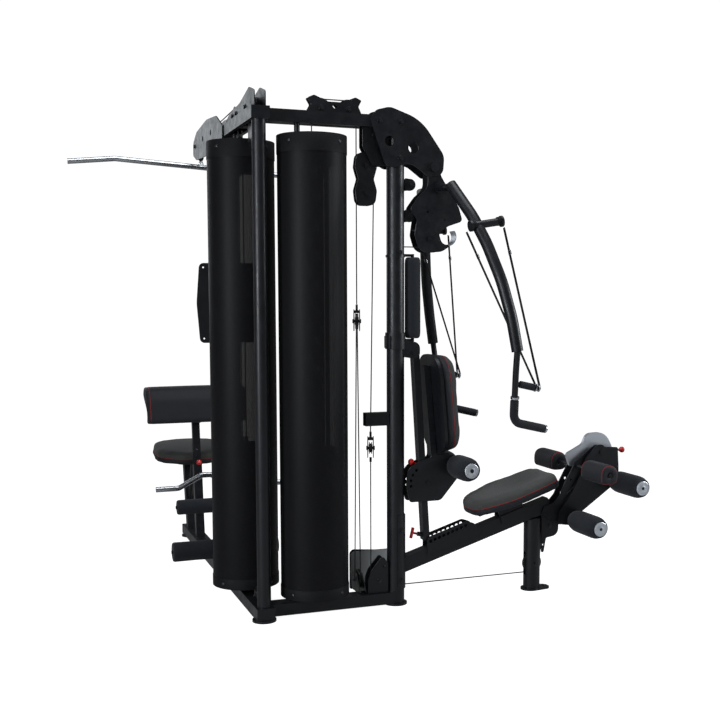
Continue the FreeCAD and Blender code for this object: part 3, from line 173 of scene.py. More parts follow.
class Finish:
    def __init__(self, name, **fixed):
        self.material = bpy.data.materials.new(name)
        self.material.use_nodes = True
        self.tree = self.material.node_tree
        self.shader = self.tree.nodes["Principled BSDF"]
        for socket, value in fixed.items():
            self.shader.inputs[socket.replace("_", " ")].default_value = value

    def add(self, kind, settings=None, out=0, **values):
        node = self.tree.nodes.new("ShaderNode" + kind)
        for key, value in (settings or {}).items():
            if key == "stops":
                self.setStops(node, value)
            else:
                setattr(node, key, value)
        for key, value in values.items():
            socket = node.inputs[int(key[1:])] if key[0] == "n" and key[1:].isdigit() else \
                node.inputs[key.replace("_", " ")]
            if isinstance(value, Value):
                self.tree.links.new(value.socket, socket)
            else:
                socket.default_value = value
        return Value(self.tree, node.outputs[out])

    def setStops(self, node, stops):
        ramp = node.color_ramp
        while len(ramp.elements) > len(stops):
            ramp.elements.remove(ramp.elements[-1])
        while len(ramp.elements) < len(stops):
            ramp.elements.new(1)
        for element, (place, colour) in zip(ramp.elements, stops):
            element.position = place
            element.color = colour

    def feed(self, socket, value):
        self.tree.links.new(value.socket, self.shader.inputs[socket])

    def place(self):
        return self.add("TexCoord", out=3)

    def axes(self):
        node = self.tree.nodes.new("ShaderNodeSeparateXYZ")
        self.tree.links.new(self.place().socket, node.inputs[0])
        return [Value(self.tree, out) for out in node.outputs]

    def noise(self, scale, detail=3, rough=0.6, vector=None):
        return self.add("TexNoise", Vector=vector or self.place(), Scale=scale, Detail=detail,
                        Roughness=rough)

    def blend(self, factor, first, second):
        return self.add("Mix", {"data_type": "RGBA"}, out=2, n0=factor, n6=first, n7=second)

    def bump(self, height, distance, strength=1.0):
        self.feed("Normal", self.add("Bump", Height=height, Distance=distance, Strength=strength))


def rgb(red, green, blue):
    return (red, green, blue, 1)


def paintFinish(name, base, worn, roughness=0.34, peel=900, depth=0.00012, gloss=0.3):
    look = Finish(name, Specular_IOR_Level=gloss)
    cloud = look.noise(5, 4)
    fine = look.noise(peel, 2)
    rubbed = (look.noise(24, 6, 0.75) * 1.6 - 0.62).math("MAXIMUM", 0.0)
    wear = (cloud.math("POWER", 2.2) + rubbed * 0.5).math("MINIMUM", 1.0)
    look.feed("Base Color", look.blend(wear, base, worn))
    look.feed("Roughness", cloud * 0.16 + fine * 0.08 + rubbed * 0.3 + (roughness - 0.12))
    look.bump(fine, depth, 0.6)
    return look.material


def metalFinish(name, base, roughness, grain=(1, 1, 1), scale=300, depth=0.00003, metallic=1.0):
    look = Finish(name, Metallic=metallic)
    stretched = look.add("Mapping", Vector=look.place(), Scale=grain)
    streak = look.noise(scale, 3, vector=stretched)
    cloud = look.noise(9, 3)
    look.feed("Base Color", look.blend(cloud, base, tuple(c * 0.8 for c in base[:3]) + (1,)))
    look.feed("Roughness", streak * 0.18 + (roughness - 0.06))
    look.bump(streak, depth, 0.5)
    return look.material


def foamFinish(name, base, pale):
    look = Finish(name, Roughness=0.8, Specular_IOR_Level=0.16, Sheen_Weight=0.06, Sheen_Roughness=0.6)
    pores = look.add("TexVoronoi", {"feature": "F1"}, Vector=look.place(), Scale=420)
    skin = look.noise(60, 5, 0.7)
    look.feed("Base Color", look.blend(skin, base, pale))
    look.bump(pores * 0.7 + skin * 0.9, 0.0005, 0.9)
    return look.material


def coverFinish(name, base, pale, first, second, pitch=0.0024):
    look = Finish(name, Specular_IOR_Level=0.15, Sheen_Weight=0.08, Sheen_Roughness=0.5)
    axes = look.axes()
    wave = math.tau / pitch
    across = (axes[first] * wave).math("SINE")
    along = (axes[second] * wave).math("SINE")
    weave = (across * along) * 0.5 + 0.5
    cloud = look.noise(16, 5)
    slub = look.noise(1, 3, vector=look.add("Mapping", Vector=look.place(), Scale=(300, 40, 300)))
    tone = (weave * 0.45 + cloud * 0.35 + slub * 0.3).math("MULTIPLY", 1.0, clamp=True)
    look.feed("Base Color", look.blend(tone, base, pale))
    look.feed("Roughness", 0.86 - weave * 0.2)
    look.bump(weave * 0.7 + slub * 0.3, 0.0004, 0.8)
    return look.material


def vinylFinish(name, base, pale):
    look = Finish(name, Specular_IOR_Level=0.22, Sheen_Weight=0.04)
    grain = look.add("TexVoronoi", {"feature": "DISTANCE_TO_EDGE"}, Vector=look.place(), Scale=520)
    crease = look.noise(22, 5, 0.65)
    look.feed("Base Color", look.blend(crease, base, pale))
    look.feed("Roughness", 0.52 + crease * 0.2)
    look.bump(grain.math("MINIMUM", 0.12) * 4 + crease * 0.5, 0.0003, 0.7)
    return look.material


def guardFinish(name, centre, base):
    hole = {"pitch": 0.0042, "rise": 0.00364, "radius": 0.00098, "open": 0.33}
    look = Finish(name, Roughness=0.5, Specular_IOR_Level=0.1)
    x, y, z = look.axes()
    x, y = x - centre[0], y - centre[1]
    angle = y.math("ARCTAN2", x)
    around = angle * (0.143 / hole["pitch"])
    row = z / hole["rise"]
    line = row.math("FLOOR")
    across = ((around + line * 0.5).math("FRACT") - 0.5) * hole["pitch"]
    height = (row.math("FRACT") - 0.5) * hole["rise"]
    distance = (across * across + height * height).math("SQRT")
    pierced = distance < hole["radius"]
    inBand = (z > 0.127) * (z < 1.918)
    look.feed("Alpha", 1 - pierced * inBand * hole["open"])
    cloud = look.noise(7, 3)
    look.feed("Base Color", look.blend(cloud, base, tuple(c * 1.6 for c in base[:3]) + (1,)))
    look.bump(distance.math("MINIMUM", hole["radius"]), 0.0003, 0.5)
    return look.material


def ropeFinish(name, base, pale):
    look = Finish(name, Roughness=0.38, Specular_IOR_Level=0.3)
    x, y, z = look.axes()
    lay = ((x + y) * 900 + z * 900).math("SINE") * 0.5 + 0.5
    look.feed("Base Color", look.blend(lay, base, pale))
    look.bump(lay, 0.0002, 0.5)
    return look.material


def webbingFinish(name, base, pale):
    look = Finish(name, Roughness=0.8, Specular_IOR_Level=0.15, Sheen_Weight=0.05)
    y, z = look.axes()[1:]
    ribs = (z * (math.tau / 0.0024)).math("SINE") * 0.5 + 0.5
    cords = (y * (math.tau / 0.0030)).math("SINE") * 0.5 + 0.5
    look.feed("Base Color", look.blend(ribs * cords, base, pale))
    look.bump(ribs * 0.6 + cords * 0.4, 0.0004, 0.8)
    return look.material


setStage()
print("stage set")

black = rgb(0.0042, 0.0046, 0.0060)
charcoal = rgb(0.0085, 0.0092, 0.0115)
finishes = {
    "frame_paint": paintFinish("powderCoatBlack", black, charcoal),
    "bolt_steel": metalFinish("boltSteel", rgb(0.05, 0.051, 0.056), 0.42, scale=700),
    "chrome": metalFinish("barChrome", rgb(0.50, 0.51, 0.53), 0.24, (1, 1, 1), 90, 0.000004),
    "rod_steel": metalFinish("rodSteel", rgb(0.42, 0.42, 0.43), 0.25, (6, 6, 0.2), 260),
    "iron": paintFinish("castIronPaint", rgb(0.004, 0.004, 0.0045), rgb(0.008, 0.008, 0.009),
                        0.55, 350, 0.0004, 0.12),
    "cable": ropeFinish("cableCoat", rgb(0.006, 0.006, 0.007), rgb(0.022, 0.022, 0.024)),
    "wheel_plastic": paintFinish("wheelNylon", rgb(0.005, 0.005, 0.0055), rgb(0.011, 0.011, 0.012),
                                 0.4, 500),
    "foam": foamFinish("foamRubber", rgb(0.0065, 0.0076, 0.0104), rgb(0.0130, 0.0148, 0.0190)),
    "upholstery": vinylFinish("padVinyl", rgb(0.0075, 0.0082, 0.0105), rgb(0.0135, 0.0145, 0.018)),
    "red_plastic": paintFinish("redPlastic", rgb(0.50, 0.012, 0.010), rgb(0.38, 0.008, 0.007),
                               0.25, 300, 0.00006, 0.5),
    "silver_plate": metalFinish("silverPlate", rgb(0.64, 0.67, 0.72), 0.40, (1, 1, 12), 180),
    "strap": webbingFinish("strapWebbing", rgb(0.004, 0.004, 0.0045), rgb(0.02, 0.02, 0.022)),
    "placard": paintFinish("placardSheet", rgb(0.0075, 0.008, 0.0095), rgb(0.013, 0.0138, 0.016), 0.5, 700),
}
wovenCover = coverFinish("wovenCover", rgb(0.026, 0.026, 0.025), rgb(0.066, 0.066, 0.063), 0, 1)
wovenUpright = coverFinish("wovenUpright", rgb(0.024, 0.024, 0.0245), rgb(0.052, 0.052, 0.052), 1, 2)
redPiping = paintFinish("redPiping", rgb(0.27, 0.011, 0.010), rgb(0.17, 0.008, 0.007),
                        0.55, 900, 0.0001, 0.2)
threadLook = webbingFinish("seamThread", rgb(0.02, 0.02, 0.022), rgb(0.06, 0.06, 0.065))
paleSteel = metalFinish("paleSteel", rgb(0.50, 0.52, 0.53), 0.38, (10, 1, 1), 200)
for name, node in nodes.items():
    node.data.materials.clear()
    if slots[name] == "mesh_guard":
        low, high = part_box(name)
        middle = (low + high) * 0.5
        node.data.materials.append(guardFinish(name + "Sheet", middle, rgb(0.004, 0.004, 0.0045)))
    else:
        node.data.materials.append(finishes[slots[name]])
print("frame finished")


def placePiece(name, mesh, looks, node, slot=None, replaced=()):
    mesh.shade_smooth()
    mesh.set_sharp_from_angle(angle=math.radians(38))
    mesh.materials.clear()
    for look in looks:
        mesh.materials.append(look)
    piece = bpy.data.objects.new(name, mesh)
    bpy.context.scene.collection.objects.link(piece)
    if node:
        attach(piece, bodyOf[node])
    slot or slots[node]
    if replaced:
        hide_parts(*replaced)
    return piece


def showPiece(name, bm, looks, node, slot=None, replaced=()):
    bmesh.ops.recalc_face_normals(bm, faces=bm.faces)
    mesh = bpy.data.meshes.new(name)
    bm.to_mesh(mesh)
    bm.free()
    return placePiece(name, mesh, looks, node, slot, replaced)


def bake(piece):
    graph = bpy.context.evaluated_depsgraph_get()
    mesh = bpy.data.meshes.new_from_object(piece.evaluated_get(graph))
    piece.modifiers.clear()
    piece.data = mesh


def turned(bm, profile, start, direction, steps=48):
    way = Vector(direction).normalized()
    place = Matrix.Translation(start) @ way.to_track_quat("Z", "Y").to_matrix().to_4x4()
    before = set(bm.verts)
    verts = [bm.verts.new(place @ Vector((radius, 0, height))) for radius, height in profile]
    edges = [bm.edges.new(ends) for ends in zip(verts, verts[1:])]
    bmesh.ops.spin(bm, geom=verts + edges, cent=start, axis=way, angle=math.tau, steps=steps, use_merge=True)
    fresh = [v for v in bm.verts if v not in before]
    bmesh.ops.remove_doubles(bm, verts=fresh, dist=1e-6)


def tube(name, paths, radius, looks, node, slot=None, closed=False, replaced=()):
    curve = bpy.data.curves.new(name, "CURVE")
    curve.dimensions = "3D"
    curve.bevel_depth = radius
    curve.bevel_resolution = 2
    curve.use_fill_caps = not closed
    for points in paths:
        spline = curve.splines.new("POLY")
        spline.points.add(len(points) - 1)
        for target, point in zip(spline.points, points):
            target.co = (*point, 1)
        spline.use_cyclic_u = closed
    holder = bpy.data.objects.new(name + "Curve", curve)
    bpy.context.scene.collection.objects.link(holder)
    graph = bpy.context.evaluated_depsgraph_get()
    mesh = bpy.data.meshes.new_from_object(holder.evaluated_get(graph))
    bpy.data.objects.remove(holder)
    return placePiece(name, mesh, looks, node, slot, replaced)


def tuckIn(mesh, tuck, paired):
    for far in ((False, True) if paired else (None,)):
        members = [v for v in mesh.vertices if far is None or (v.co.y > armY) == far]
        for k in range(3):
            low = min(v.co[k] for v in members)
            high = max(v.co[k] for v in members)
            middle = (low + high) / 2
            share = 1 - 2 * tuck / (high - low)
            for v in members:
                v.co[k] = middle + (v.co[k] - middle) * share


def swell(piece, pressure, cap, back):
    mesh = piece.data
    rest = [v.co.copy() for v in mesh.vertices]
    base = max(co.dot(back) for co in rest)
    held = piece.vertex_groups.new(name="held")
    held.add([i for i, co in enumerate(rest) if co.dot(back) > base - 0.007], 1.0, "REPLACE")
    cloth = piece.modifiers.new("cloth", "CLOTH")
    skin = cloth.settings
    skin.use_pressure = True
    skin.uniform_pressure_force = pressure
    skin.effector_weights.gravity = 0
    skin.quality = 4
    skin.tension_stiffness = skin.compression_stiffness = 18
    skin.bending_stiffness = 4
    skin.vertex_group_mass = "held"
    lastFrame = 20
    cloth.point_cache.frame_end = lastFrame
    for step in range(1, lastFrame + 1):
        bpy.context.scene.frame_set(step)
    bake(piece)
    for v, start in zip(piece.data.vertices, rest):
        move = v.co - start
        if move.length > cap:
            v.co = start + move.normalized() * cap
    bpy.context.scene.frame_set(1)
    even = piece.modifiers.new("even", "SMOOTH")
    even.factor = 0.5
    even.iterations = 26
    bake(piece)


def pressSeams(mesh, seams, depth, width=0.0045):
    mesh.update()
    normals = [v.normal.copy() for v in mesh.vertices]
    for v, normal in zip(mesh.vertices, normals):
        for point, way in seams:
            share = (v.co - point).dot(way) / width
            v.co -= normal * depth * math.exp(-share * share)


def seamLoops(mesh, point, way, spacing=0.006):
    bm = bmesh.new()
    bm.from_mesh(mesh)
    geometry = bm.verts[:] + bm.edges[:] + bm.faces[:]
    cut = bmesh.ops.bisect_plane(bm, geom=geometry, plane_co=point, plane_no=way)["geom_cut"]
    links = {}
    for edge in (item for item in cut if isinstance(item, bmesh.types.BMEdge)):
        for first, second in (edge.verts, reversed(edge.verts)):
            links.setdefault(first, []).append(second)
    loops = []
    while links:
        at = next(iter(links))
        loop = []
        while at is not None:
            loop.append(at.co.copy())
            at = next((other for other in links.pop(at) if other in links), None)
        for _ in range(4):
            loop = [(loop[i - 1] + loop[i] * 2 + loop[(i + 1) % len(loop)]) / 4 for i in range(len(loop))]
        kept = [loop[0]]
        for co in loop:
            if (co - kept[-1]).length > spacing:
                kept.append(co)
        if len(kept) > 8:
            loops.append(kept)
    bm.free()
    return loops


def cushion(name, node, looks, back, seams, voxel=0.006, pressure=4, cap=0.012, tuck=0.004, paired=False,
            top=None, pipe=0.0014, depth=0.0018):
    mesh = nodes[node].data.copy()
    piece = placePiece(name, mesh, looks, node, replaced=(node,))
    tuckIn(mesh, tuck, paired)
    remesh = piece.modifiers.new("remesh", "REMESH")
    remesh.mode = "VOXEL"
    remesh.voxel_size = voxel
    bake(piece)
    swell(piece, pressure, cap, back)
    pressSeams(piece.data, seams, depth)
    loops = [loop for point, way in seams for loop in seamLoops(piece.data, point, way)]
    finer = piece.modifiers.new("finer", "SUBSURF")
    finer.levels = finer.render_levels = 1
    bake(piece)
    mesh = piece.data
    mesh.shade_smooth()
    mesh.materials.clear()
    for look in looks:
        mesh.materials.append(look)
    for face in mesh.polygons:
        face.material_index = int(bool(top) and (face.center - top[0]).dot(top[1]) > 0)
    tube(name + "Piping", loops, pipe, [redPiping], node, "red_plastic", closed=True)
    print(name, len(mesh.polygons), "faces")
    return piece


def slopeWay(joint):
    return Vector(joints[joint]["axis"]).normalized()


def makeCushions():
    along = slopeWay("seat_slide")
    seatUp = Vector((-along.z, 0, along.x))
    low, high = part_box("seat_pad")
    middle = (low + high) / 2
    seam = middle + seatUp * 0.002
    cushion("seatCushion", "seat_pad", [finishes["upholstery"], wovenCover], -seatUp, [(seam, seatUp)],
            top=(seam, seatUp), cap=0.007)

    leanBack = math.radians(5)
    face = Vector((math.cos(leanBack), 0, math.sin(leanBack)))
    low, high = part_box("backrest_pad")
    seam = (low + high) / 2 + face * 0.004
    cushion("backCushion", "backrest_pad", [finishes["upholstery"], wovenUpright], -face, [(seam, face)],
            top=(seam, face), cap=0.007)

    tilt = math.radians(7)
    latUp = Vector((0, -math.sin(tilt), math.cos(tilt)))
    low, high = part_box("lat_seat_pad")
    seam = (low + high) / 2 + latUp * 0.002
    cushion("latCushion", "lat_seat_pad", [finishes["upholstery"], wovenCover], -latUp, [(seam, latUp)],
            top=(seam, latUp), cap=0.007)

    low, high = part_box("preacher_pad")
    sideways = Vector((1, 0, 0))
    inset = 0.022
    seams = [(Vector((x, 0, 0)), sideways) for x in (low.x + inset, high.x - inset)]
    cushion("preacherCushion", "preacher_pad", [finishes["upholstery"]], Vector((0, 0, -1)), seams,
            cap=0.004)

    low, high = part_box("knee_pads")
    across = Vector((0, 1, 0))
    padLong = 0.19
    inset = 0.009
    ends = (low.y + inset, low.y + padLong - inset, high.y - padLong + inset, high.y - inset)
    cushion("kneeCushions", "knee_pads", [finishes["upholstery"]], Vector((0, 0, -1)),
            [(Vector((0, y, 0)), across) for y in ends], voxel=0.005, cap=0.004, tuck=0.002, paired=True)


def makeRollers():
    foam = finishes["foam"]
    spec = {"back_roller": (0.052, 0.030), "leg_roller_upper": (0.050, 0.030),
            "leg_roller_lower": (0.050, 0.030)}
    for node, (radius, discRadius) in spec.items():
        low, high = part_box(node)
        x, z = (low.x + high.x) / 2, (low.z + high.z) / 2
        half = (high.y - low.y) / 2
        length = half - (0.030 if node == "back_roller" else 0.052)
        foamMesh, discs, bolts = bmesh.new(), bmesh.new(), bmesh.new()
        for side in (-1, 1):
            start = Vector((x, armY + side * (half - length), z))
            profile = [(0.0095, 0), (radius * 0.72, 0), (radius * 0.80, 0.003), (radius * 0.9, 0.014),
                       (radius * 0.98, 0.034), (radius, 0.055), (radius, length - 0.05),
                       (radius * 0.97, length - 0.03), (radius * 0.86, length - 0.012),
                       (radius * 0.84, length - 0.011), (radius * 0.84, length - 0.008),
                       (radius * 0.78, length - 0.007), (radius * 0.76, length - 0.002),
                       (radius * 0.68, length), (0.0095, length), (0.0095, 0)]
            turned(foamMesh, profile, start, (0, side, 0))
            tip = start + Vector((0, side * (length - 0.0015), 0))
            lip = discRadius + 0.002
            turned(discs, [(0.007, 0), (discRadius, 0), (lip, 0.0015), (lip, 0.005), (discRadius, 0.0064),
                           (discRadius - 0.004, 0.0056), (0.012, 0.0058), (0.010, 0.0068),
                           (0.007, 0.0068), (0.007, 0)], tip, (0, side, 0))
            turned(bolts, [(0, 0.0060), (0.0066, 0.0060), (0.0066, 0.0074), (0.003, 0.0074), (0.003, 0.0064),
                           (0, 0.0064)], tip, (0, side, 0), 16)
        roller = showPiece(node + "Foam", foamMesh, [foam], node, replaced=(node,))
        showPiece(node + "Discs", discs, [finishes["silver_plate"]], node, "silver_plate")
        showPiece(node + "Bolts", bolts, [finishes["bolt_steel"]], node, "bolt_steel")


def makeFoamRolls():
    bm = bmesh.new()
    head = {"radius": 0.034, "bottom": 1.160, "length": 0.346, "x": 0.678}
    turned(bm, [(0.0075, 0), (0.024, 0), (0.028, 0.002), (0.0325, 0.010), (0.034, 0.026),
                (0.034, head["length"] - 0.026), (0.0325, head["length"] - 0.010),
                (0.028, head["length"] - 0.002),
                (0.024, head["length"]), (0.0075, head["length"]), (0.0075, 0)],
           Vector((head["x"], armY, head["bottom"])), (0, 0, 1))
    rolls = ((0.035, 0.184, 0.352), (0.046, 0.208, 0.140))
    for radius, length, z in rolls:
        for side in (-1, 1):
            start = Vector((side * 0.044, 0.770, z))
            turned(bm, [(0.0085, 0), (radius - 0.006, 0), (radius - 0.001, 0.004), (radius, 0.012),
                        (radius * 0.985, length * 0.5), (radius, length - 0.016), (radius, length - 0.008),
                        (radius - 0.003, length - 0.001), (radius - 0.008, length), (0.0, length - 0.002)],
                   start, (side, 0, 0))
    piece = showPiece("foamRolls", bm, [finishes["foam"]], "foam_rolls", replaced=("foam_rolls",))


def makeGrips():
    mesh = nodes["press_grips"].data.copy()
    piece = placePiece("gripSleeves", mesh, [finishes["foam"]], "press_grips", replaced=("press_grips",))
    remesh = piece.modifiers.new("remesh", "REMESH")
    remesh.mode = "VOXEL"
    remesh.voxel_size = 0.0026
    smooth = piece.modifiers.new("smooth", "SMOOTH")
    smooth.iterations = 3
    bake(piece)
    piece.data.shade_smooth()


def clippedCable(name, node, clips, bend=None, replaced=()):
    bm = bmesh.new()
    bm.from_mesh(nodes[node].data)
    bmesh.ops.remove_doubles(bm, verts=bm.verts, dist=1e-6)
    for point, way in clips:
        geometry = bm.verts[:] + bm.edges[:] + bm.faces[:]
        bmesh.ops.bisect_plane(bm, geom=geometry, plane_co=point, plane_no=way, clear_outer=True)
    piece = showPiece(name, bm, [finishes["cable"]], None if bend else node, "cable", replaced)
    if bend:
        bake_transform(piece)
    return piece


def makeCables():
    up, down = Vector((0, 0, 1)), Vector((0, 0, -1))
    right, left = Vector((1, 0, 0)), Vector((-1, 0, 0))
    near, away = Vector((0, -1, 0)), Vector((0, 1, 0))
    lift = {"a": "stack_a", "top": Vector((0, 0, 2.10)), "eye": Vector((0, 0, 0.74))}
    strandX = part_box("stack_head_a")[0].lerp(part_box("stack_head_a")[1], 0.5).x
    clippedCable("stackCableRise", "stack_cable_a",
                 [(Vector((strandX + 0.01, 0, 0)), right), (lift["top"], up)],
                 ("frame", "stack_a", lift["top"], lift["eye"]), ("stack_cable_a",))
    wheelSide = Vector((0.40, 0, 0))
    clippedCable("stackCableTop", "stack_cable_a", [(lift["top"], down), (wheelSide, right)])
    clippedCable("stackCableLoop", "stack_cable_a", [(wheelSide, left)],
                 ("frame", "double_block", Vector((0, 0, 2.0)), Vector((0, 0, 1.89))))
    clippedCable("blockCable", "block_cable", [],
                 ("double_block", "frame", Vector((0, 0, 1.76)), Vector((0, 0, 1.32))), ("block_cable",))

    handleSide = Vector((0, 1.19, 0))
    clippedCable("latCableRise", "lat_cable", [(Vector((0, 0.345, 0)), away), (lift["top"], up)],
                 ("frame", "stack_b", lift["top"], lift["eye"]), ("lat_cable",))
    clippedCable("latCableTop", "lat_cable", [(lift["top"], down), (handleSide, away)])
    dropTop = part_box("lat_cable")[1].z - 0.07
    clippedCable("latCableDrop", "lat_cable", [(handleSide, near), (Vector((0, 0, dropTop)), up)],
                 ("frame", "lat_handle", Vector((0, 0, dropTop)),
                  Vector((0, 0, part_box("lat_cable")[0].z + 1.29))))
    clippedCable("latCableBend", "lat_cable", [(handleSide, near), (Vector((0, 0, dropTop)), down)])

    stackSide, barSide = Vector((0, 0.325, 0)), Vector((0, 0.865, 0))
    lowTurn = Vector((0, 0, 0.085))
    clippedCable("curlCableStack", "curl_cable",
                 [(stackSide, near), (Vector((0, 0.345, 0)), away), (lift["top"], up),
                  (Vector((0, 0, 0.3)), down)],
                 ("frame", "stack_b", lift["top"], lift["eye"]), ("curl_cable",))
    clippedCable("curlCableBar", "curl_cable", [(barSide, near), (lowTurn, down)],
                 ("frame", "curl_handle", lowTurn, Vector((0, 0, 0.46))))
    clippedCable("curlCableLow", "curl_cable", [(Vector((0, 0, 0.3)), up), (barSide, away)])
    clippedCable("curlCableTurn", "curl_cable", [(barSide, near), (lowTurn, up)])
    clippedCable("curlCableBack", "curl_cable",
                 [(stackSide, away), (Vector((0, 0, 0.3)), down), (lift["top"], up)])
    clippedCable("curlCableTop", "curl_cable", [(lift["top"], down)])

    postSide = Vector((0.64, 0, 0))
    clippedCable("pressCableRun", "press_cable", [(postSide, left)],
                 ("frame", "press", Vector((0.645, 0, 0)), Vector((0.699, 0, 0))), ("press_cable",))
    clippedCable("pressCablePost", "press_cable", [(postSide, right)])
    rise = Vector((0.71, 0, 0.70))
    benchTurn = Vector((1.335, armY, 0.335))
    clippedCable("legCableRun", "leg_cable", [(benchTurn, -rise)],
                 ("frame", "leg_swing_arm", benchTurn, Vector((1.60, armY, 0.57))), ("leg_cable",))
    clippedCable("legCableLow", "leg_cable", [(benchTurn, rise)])


def ribbon(bm, start, end, side, width, thick, bow=0.0, steps=24):
    sheet = bmesh.ops.create_grid(bm, x_segments=2, y_segments=steps, size=1)["verts"]
    normal = (end - start).cross(side).normalized()
    for v in sheet:
        share = (v.co.y + 1) / 2
        across = v.co.x * width / 2
        v.co = start.lerp(end, share) + side * across + normal * (bow * math.sin(math.pi * share))
    faces = [face for face in bm.faces if face.verts[0] in sheet]
    bmesh.ops.solidify(bm, geom=faces, thickness=thick)


def makeStraps():
    strap = {"width": 0.020, "thick": 0.0018, "spool": ((0.969, 0.290, 1.622), (0.812, 0.264, 1.602)),
             "foot": ((1.073, 0.418, 0.975), (1.073, 0.384, 0.975))}
    webbing, threads, rings = bmesh.new(), [], []
    for side in (-1, 1):
        for top, foot in zip(strap["spool"], strap["foot"]):
            start = Vector((top[0], armY + side * top[1], top[2]))
            end = Vector((foot[0], armY + side * foot[1], foot[2]))
            run = (end - start).normalized()
            across = (Vector((0, 1, 0)) - run * run.y).normalized()
            ribbon(webbing, start, end, across, strap["width"], strap["thick"])
            normal = run.cross(across)
            for edge in (-1, 1):
                for k in range(14):
                    for origin, way in ((start, 1), (end, -1)):
                        at = origin + run * (way * (0.010 + k * 0.0045)) + across * (edge * 0.0075)
                        for face in (-1, 1):
                            lift = normal * (face * 0.0012)
                            threads.append([at + lift, at + lift + run * (way * 0.0028)])
            buckle = start.lerp(end, 0.16)
            corners = [buckle + across * (a * 0.0125) + run * b + normal * 0.001
                       for a, b in ((-1, -0.008), (1, -0.008), (1, 0.008), (-1, 0.008))]
            rings.append(corners)
        peg = Vector((1.073, armY + side * 0.401, 0.969))
        rings.append([peg + Vector((0, 0.020 * math.cos(a), 0.014 * math.sin(a) - 0.004))
                      for a in (math.tau * k / 20 for k in range(20))])
        for top in strap["spool"]:
            x = 0.944 if top[0] > 0.9 else 0.826
            z = 1.6448 if top[0] > 0.9 else 1.6256
            hub = Vector((x - 0.011, armY + side * 0.300, z))
            turned(webbing, [(0.0166, 0), (0.0184, 0.0005), (0.0184, 0.0205), (0.0166, 0.021), (0.0166, 0)],
                   hub, (1, 0, 0.19), 32)
    showPiece("flyWebbing", webbing, [finishes["strap"]], "fly_straps", replaced=("fly_straps",))
    tube("flyStitches", threads, 0.0004, [threadLook], "fly_straps", "strap")
    tube("flyBuckles", rings, 0.0016, [finishes["chrome"]], "press_arms", "chrome", closed=True)


def bandProfile(radius, low, high, proud):
    return [(radius - 0.0004, low), (radius + proud, low), (radius + proud, high - 0.0015),
            (radius + proud - 0.001, high), (radius - 0.004, high), (radius - 0.0004, high - 0.002),
            (radius - 0.0004, low)]


def makeGuardBands():
    for node in ("shroud_a", "shroud_b"):
        low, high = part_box(node)
        middle = (low + high) / 2
        radius = (high.x - low.x) / 2
        bm = bmesh.new()
        start = Vector((middle.x, middle.y, 0))
        turned(bm, bandProfile(radius, high.z - 0.074, high.z, 0.0022), start, (0, 0, 1), 96)
        turned(bm, bandProfile(radius, low.z, low.z + 0.045, 0.0022), start, (0, 0, 1), 96)
        showPiece(node + "Bands", bm, [finishes["iron"]], node, "frame_paint")
        bm = bmesh.new()
        for degrees in (35, 125, 215, 305):
            way = Vector((math.cos(math.radians(degrees)), math.sin(math.radians(degrees)), 0))
            for z in (high.z - 0.030, low.z + 0.022):
                turned(bm, [(0, 0), (0.0075, 0), (0.0068, 0.003), (0.004, 0.0044), (0, 0.0046)],
                       Vector((middle.x, middle.y, z)) + way * (radius + 0.002), way, 20)
        showPiece(node + "Rivets", bm, [finishes["bolt_steel"]], node, "bolt_steel")


def ringAt(bm, centre, way, inner, outer, high, steps=28):
    turned(bm, [(inner, 0), (outer, 0), (outer, high * 0.8), (outer - high * 0.2, high), (inner, high),
                (inner, 0)], centre, way, steps)


